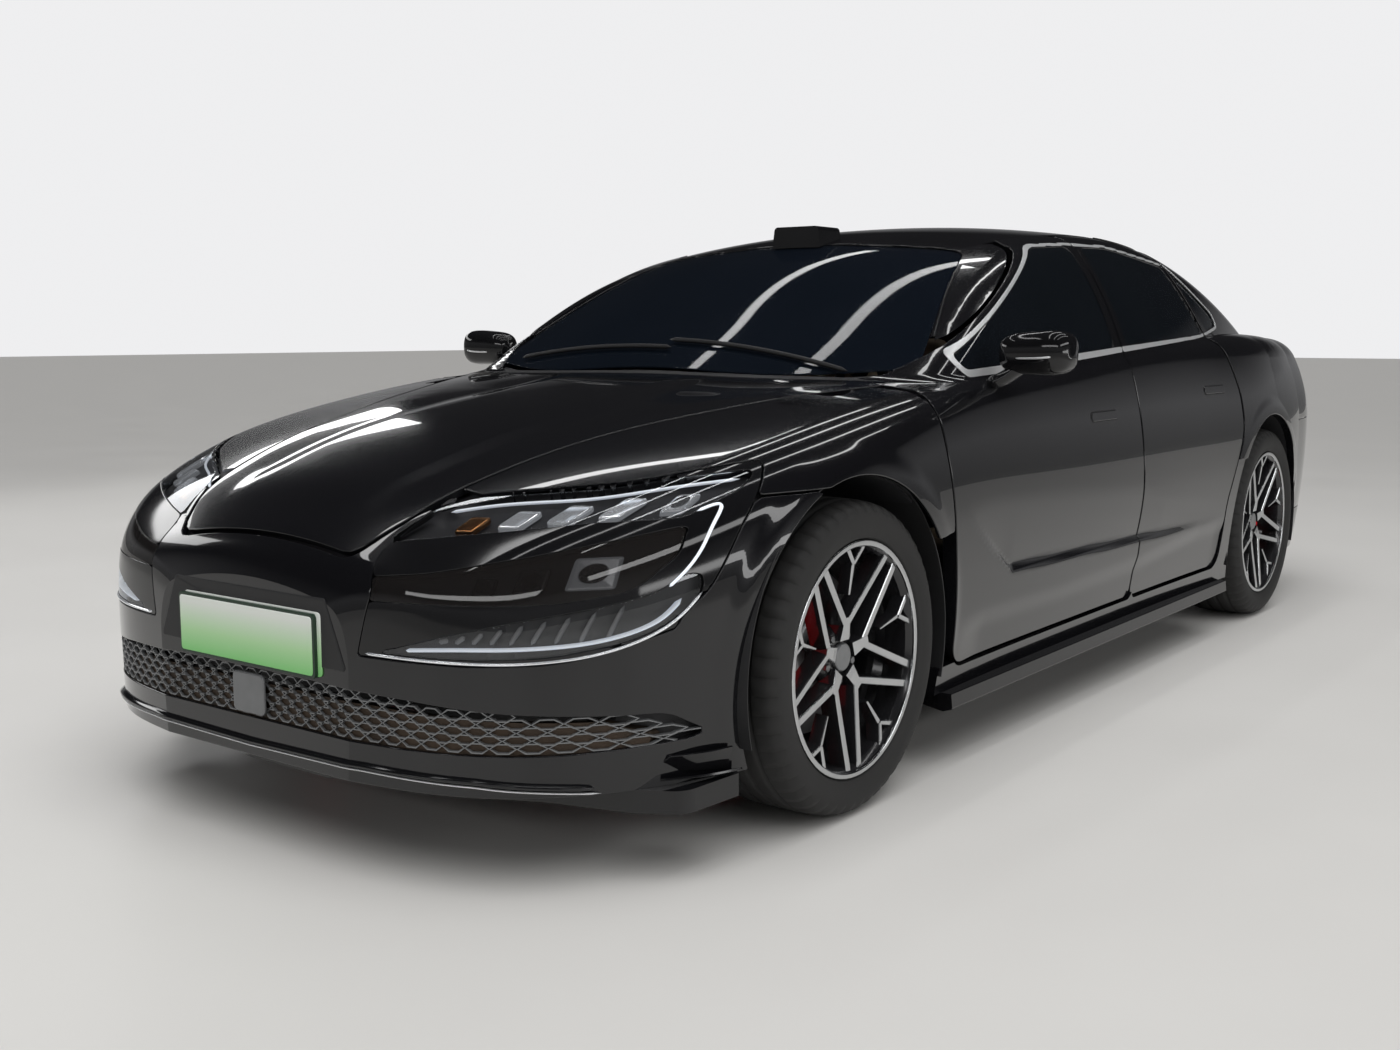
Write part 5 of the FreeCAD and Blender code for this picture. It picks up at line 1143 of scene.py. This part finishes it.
for end, axle in (("front", FRONT_AXLE), ("rear", REAR_AXLE)):
    for name, side in SIDES:
        key, place = f"{end}_{name}", polar(side, axle)
        body = f"wheel_{key}"
        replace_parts(turned(f"tyre_tread_{key}", tyre_profile, place, side, body, "tyre_rubber", rubber,
                           tyre_angles, sipes), f"tyre_{key}")
        rim = turned(f"rim_barrel_{key}", BARREL, place, side, body, "rim_alloy", dark_alloy)
        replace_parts(rim, f"wheel_{key}")
        for piece, corners, r, slot, finish in TURNED:
            turned(f"{piece}_{key}", softened(corners, r), place, side, body, slot, finish)
        runs = []
        for k in range(SPOKES):
            a = math.radians(90 + 72 * k)
            wide, fork = math.radians(31), math.radians(8)
            runs.append(((0.041, a, 0.019), (0.096, a, 0.011), 0.040, 0.0))
            for turn in (-1, 1):
                runs.append(((0.076, a, 0.0085), (0.268, a + turn * wide, 0.0095), 0.042, 0.0004))
                runs.append(((0.224, a, 0.0055), (0.268, a + turn * fork, 0.0062), 0.034, 0.002))
            runs.append(((0.150, a, 0.003), (0.232, a, 0.0062), 0.030, 0.004))
        beams(f"spokes_{key}", runs, place, side, body, "rim_alloy")
        hexagon_turn = np.linspace(0, 2 * math.pi, 6, endpoint=False)
        for k in range(SPOKES):
            a = math.radians(126 + 72 * k)
            bolt = np.stack([0.0095 * np.cos(hexagon_turn), 0.0095 * np.sin(hexagon_turn)], -1)
            slab(f"wheel_bolt_{k}_{key}", bolt[::side],
                 lambda u, v, d, a=a: place(0.054 + d, BOLT_CIRCLE + u, a + v / BOLT_CIRCLE), 0.018, body,
                 "rim_alloy", cast, 0.002)
        carrier = f"steer_carrier_{name}" if end == "front" else "body"
        caliper_at = math.radians(184 if end == "front" else 0)
        arc_block(f"caliper_{key}", place, side, caliper_at, CALIPER_HALF, carrier)
        liner_x, liner_a = np.meshgrid(side * np.linspace(0.965, 0.52, 12)[::side],
                                       np.radians(np.linspace(-16, 196, 90)), indexing="xy")
        p = np.stack([liner_x, axle + LINER * np.cos(liner_a), HUB_Z + LINER * np.sin(liner_a)], -1)
        panel(f"arch_liner_{key}", p, np.full(liner_x.shape, -1.0), "body", "black_plastic", [plastic],
              depth=0.003, roll=0.001)


# Trim, mirrors, handles and cabin

MIRROR_FACE, WIPER_REST = -0.7495, -1.115
WINGLETS = ([(0.850, -2.245, 0.232), (0.925, -2.085, 0.214), (0.882, -2.225, 0.262), (0.940, -2.085, 0.262)],
            [(0.842, -2.235, 0.205), (0.910, -2.075, 0.200), (0.880, -2.235, 0.214), (0.950, -2.065, 0.210)])

for name, side in SIDES:
    p = flank(np.linspace(-1.14, 1.42, 270), np.linspace(0.975, 1.452, 62), side)
    x, y, z = parts(p)
    d = distance(SIDE_GLASS, y, z)
    band = both_in(0.003 - d, d - 0.013 - 0.010 * (1 - smooth(1.03, 1.12, z)))
    front, rear = distance(FRONT_DOOR, y, z), distance(REAR_DOOR, y, z)
    for body, region, lift in ((f"door_front_{name}", front, 0.0015), (f"door_rear_{name}", rear, 0.0015),
                               ("body", both_in(SHUT - front, SHUT - rear), LIFT + 0.0015)):
        panel(f"window_trim_{body}_{name}" if body == "body" else f"window_trim_{body}", p,
              both_in(band, region), body, None, [trim], depth=0.003, roll=0.001, back=False, lift=lift)
    for place, body, middle_y, middle_z in (("front", f"door_front_{name}", -0.134, 0.868),
                                            ("rear", f"door_rear_{name}", 0.899, 0.916)):
        grip = rectangle(0.101, middle_z - 0.013, middle_z + 0.013, 0.012, middle_y)
        q = flank(np.linspace(middle_y - 0.12, middle_y + 0.12, 60),
                  np.linspace(middle_z - 0.03, middle_z + 0.03, 20), side)
        d = distance(grip, q[..., 1], q[..., 2])
        panel(f"handle_recess_{place}_{name}", q, d - 0.004, body, "black_plastic", [plastic], depth=0.003,
              roll=0.0006, back=False, lift=0.0007)
        panel(f"handle_{place}_{name}", q, d, body, "body_paint", [paint], depth=0.005, roll=0.0014,
              back=False, lift=0.0032)

    # Mirror: a shell whose (y, z) sections are superellipses along x, an oval stalk, a strip and the glass
    s, t = np.meshgrid(np.linspace(0, 1, 33), np.linspace(0, 2 * math.pi, 48, endpoint=False), indexing="ij")
    bulge = np.clip(1 - (2 * s - 1) ** 4, 0, 1) ** 0.4 * (0.84 + 0.16 * s)
    cos, sin = np.cos(t), np.sin(t)
    wide, high = 0.064 * bulge, 0.063 * bulge
    shell_y = -0.812 + wide * np.sign(cos) * np.abs(cos) ** 0.62 + 0.006 * s
    shell_z = 1.068 + 0.004 * s + high * np.sign(sin) * np.abs(sin) ** 0.72
    shell = np.stack([side * (0.920 + 0.210 * s), np.minimum(shell_y, MIRROR_FACE), shell_z], -1)
    door_body = f"door_front_{name}"
    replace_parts(make(f"mirror_shell_{name}", shell.reshape(-1, 3), ring_faces(*s.shape, side=side), door_body,
                     "gloss_black", [gloss]), f"mirror_{name}")
    flip = np.array((side, 1, 1))
    stalk = through([(0.888, -0.835, 0.985), (0.925, -0.828, 0.996), (0.965, -0.818, 1.022),
                     (1.000, -0.812, 1.045)], 24)
    tube(f"mirror_stalk_{name}", stalk * flip, 0.034, 0.020, door_body, "gloss_black", gloss, sides=16)
    strip = through([(0.944, -0.855, 1.058), (1.01, -0.868, 1.056), (1.08, -0.866, 1.060),
                     (1.122, -0.842, 1.068)], 30)
    tube(f"mirror_strip_{name}", strip * flip, 0.0022, 0.0028, door_body, None, trim)
    glass_edge = rounded([(0.956, 1.030, 0.02), (1.100, 1.036, 0.03), (1.114, 1.110, 0.03),
                          (0.956, 1.098, 0.02)])
    # The mirror glass takes the glowing reflector finish: painted glow on top of its real reflection.
    slab(f"mirror_glass_{name}", glass_edge[::side],
         lambda u, v, d, side=side: np.stack([side * u, MIRROR_FACE - 0.002 + d, v], -1), 0.0018, door_body,
         "screen_glass", glowing_chrome, 0.0006)

    # Winglets at the bumper's foot, in two tiers: a bulged blend of four corners
    for tier, corners in enumerate(WINGLETS):
        c = np.array(corners)
        a, b = np.meshgrid(np.linspace(0, 1, 24), np.linspace(0, 1, 10), indexing="ij")
        a, b = a[..., None], b[..., None]
        leaf = (c[0] * (1 - a) + c[1] * a) * (1 - b) + (c[2] * (1 - a) + c[3] * a) * b
        leaf[..., 0] += 0.012 * np.sin(math.pi * a[..., 0])
        leaf = leaf * flip
        panel(f"winglet_{tier}_{name}", leaf[::side], np.full(leaf.shape[:2], -1.0), "body", "gloss_black",
              [gloss], depth=0.005, roll=0.001)

# Wipers, resting along the foot of the windscreen
for k, (x0, x1) in enumerate(((0.62, -0.02), (0.02, -0.62))):
    share = np.linspace(0, 1, 30)
    px, py = x0 + (x1 - x0) * share, WIPER_REST + 0.040 * share
    pz = np.maximum(height(px, py, UPPER_AT), height(px, py, LOWER_AT)) + 0.010
    tube(f"wiper_{k}", np.stack([px, py, pz], -1), 0.006, 0.007, "body", "black_plastic", plastic, sides=8)

# Lips: the splitter's bright edge, the tail's small spoiler and the boot lid's press line
edge_x = np.linspace(-0.80, 0.80, 120)
blade_z = np.interp(np.abs(edge_x), (0, 0.366, 0.617, 0.80), (0.232, 0.238, 0.232, 0.212))
tube("splitter_blade", on_nose(edge_x, blade_z, 0.014), 0.027, 0.009, "body", "gloss_black", gloss, sides=16)
tube("splitter_edge", on_nose(edge_x, blade_z - 0.009, -0.006), 0.004, 0.002, "body", None, trim, sides=8)
spoiler_x = np.linspace(-0.585, 0.585, 90)
spoiler_y = 2.566 - 0.10 * np.abs(spoiler_x) ** 2
spoiler = np.stack([spoiler_x, spoiler_y, height(spoiler_x, spoiler_y, LOWER_AT) + 0.004], -1)
tube("boot_lid_lip", spoiler, 0.016, 0.009, "boot_lid", "gloss_black", gloss, sides=16)


CROWN, POWER = 0.10, 0.42


def cushion(name, centre, half, lean, node, seams=(0.62,)):
    """A padded block: a superellipsoid of exponent POWER, crowned by a cosine over its front, with grooves
    pressed in where |u| equals a seam, leant back about the x axis."""
    rise = np.linspace(-1, 1, 31)
    v, t = np.meshgrid(np.sign(rise) * (1 - (1 - np.abs(rise)) ** 2.4) * math.pi / 2,
                       np.linspace(0, 2 * math.pi, 48, endpoint=False), indexing="ij")

    def shaped(a):
        return np.sign(a) * np.abs(a) ** POWER
    x, y = shaped(np.cos(v)) * shaped(np.cos(t)), shaped(np.cos(v)) * shaped(np.sin(t))
    z = shaped(np.sin(v))
    swell = 1 - CROWN + CROWN * np.cos(math.pi / 2 * x) * np.cos(math.pi / 2 * y)
    groove = sum(np.exp(-((np.abs(x) - s) / 0.035) ** 2) for s in seams) * 0.055
    z = z * (swell - groove)
    p = np.stack([x * half[0], y * half[1], z * half[2]], -1)
    c, s = math.cos(lean), math.sin(lean)
    p = np.stack([p[..., 0], p[..., 1] * c - p[..., 2] * s, p[..., 1] * s + p[..., 2] * c], -1) + centre
    rows, columns = p.shape[:2]
    faces = ring_faces(rows - 2, columns, columns)
    piece = make(name, p.reshape(-1, 3), faces, "body", "seat_leather", [leather])
    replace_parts(piece, node)


# Seats of each node: (x, y of the seat's front, name, half width)
SEATS = (("front_seats", [(0.37, -0.286, "front_left", 0.235), (-0.37, -0.286, "front_right", 0.235)]),
         ("rear_seat", [(0.40, 0.495, "rear_left", 0.19), (0.0, 0.495, "rear_middle", 0.19),
                        (-0.40, 0.495, "rear_right", 0.19)]))
for node, rows in SEATS:
    for x0, y0, key, half in rows:
        cushion(f"seat_base_{key}", (x0, y0 + 0.27, 0.50), (half, 0.265, 0.105), 0.0, node)
        cushion(f"seat_back_{key}", (x0, y0 + 0.575, 0.745), (half, 0.245, 0.062), math.radians(112), node)
        cushion(f"seat_head_{key}", (x0, y0 + 0.655, 1.025), (0.125, 0.068, 0.048), math.radians(100), node,
                seams=())


# Other CAD nodes

CARRIED = {
    "side_frame": paint, "front_structure": steel, "rear_structure": steel, "floor_pan": steel,
    "cowl": plastic, "lower_grille": core, "front_splitter": gloss, "side_skirts": gloss,
    "rear_diffuser": gloss, "lidar_pod": gloss, "battery_pack": housing, "drive_units": housing,
    "front_suspension": cast, "rear_suspension": cast, "knuckle": cast, "dashboard": soft_dark,
    "steering_wheel": soft_dark}
for node, piece in NODES.items():
    for start, finish in CARRIED.items():
        if node.startswith(start):
            piece.data.materials.clear()
            piece.data.materials.append(finish.material)

# Floor, light and surroundings

floor_mesh = bpy.data.meshes.new("floor")
FAR = 60
floor_mesh.from_pydata([(-FAR, -FAR, 0), (FAR, -FAR, 0), (FAR, FAR, 0), (-FAR, FAR, 0)], [], [(0, 1, 2, 3)])
floor = added("floor", floor_mesh)
ground = surface("pale_floor", (0.60, 0.59, 0.57), (0.64, 0.63, 0.61), 0.45, 0.1, 1.2)
floor_mesh.materials.append(ground.material)

world = bpy.data.worlds.new("studio")
bpy.context.scene.world = world
world.use_nodes = True
tree = world.node_tree
light_path, background = tree.nodes.new("ShaderNodeLightPath"), tree.nodes["Background"]
direction, split = tree.nodes.new("ShaderNodeTexCoord"), tree.nodes.new("ShaderNodeSeparateXYZ")
sky, seen = tree.nodes.new("ShaderNodeValToRGB"), tree.nodes.new("ShaderNodeMix")
seen.data_type = "RGBA"
seen.inputs[7].default_value = (0.86, 0.86, 0.87, 1)
SKY = ((0.0, (0.14, 0.14, 0.14)), (0.10, (0.22, 0.22, 0.225)), (0.22, (0.012, 0.012, 0.013)),
       (1.0, (0.02, 0.02, 0.022)))
set_stops(sky.color_ramp, SKY)
tree.links.new(direction.outputs["Generated"], split.inputs[0])
tree.links.new(split.outputs["Z"], sky.inputs[0])
tree.links.new(sky.outputs[0], seen.inputs[6])
tree.links.new(light_path.outputs["Is Camera Ray"], seen.inputs[0])
tree.links.new(seen.outputs[2], background.inputs[0])


def lamp(name, place, turn, size, power):
    """A soft rectangular lamp; turn is its rotation in degrees."""
    data = bpy.data.lights.new(name, "AREA")
    data.shape, data.size, data.size_y, data.energy = "RECTANGLE", *size, power
    piece = added(name, data)
    piece.location, piece.rotation_euler = place, [math.radians(a) for a in turn]


sun_data = bpy.data.lights.new("soft_daylight", "SUN")
sun_data.energy, sun_data.angle = 2.4, math.radians(70)
sun = added("soft_daylight", sun_data)
sun.rotation_euler = (math.radians(12), math.radians(14), 0)
sun.visible_glossy = False
for strip in range(5):
    lamp(f"overhead_{strip}", (1.5 * (strip - 2), 0, 5.2), (0, 0, 0), (0.16, 9), 26)
lamp("left_bank", (7, -2, 3.2), (0, 66, 0), (0.8, 9), 95)
lamp("left_foot_bank", (6.5, 0.5, 1.1), (0, 86, 0), (0.25, 8), 30)
lamp("right_bank", (-7, -1, 3.2), (0, -66, 0), (0.8, 9), 80)
lamp("front_bank", (1.5, -9, 3.0), (70, 0, 8), (8, 0.7), 70)
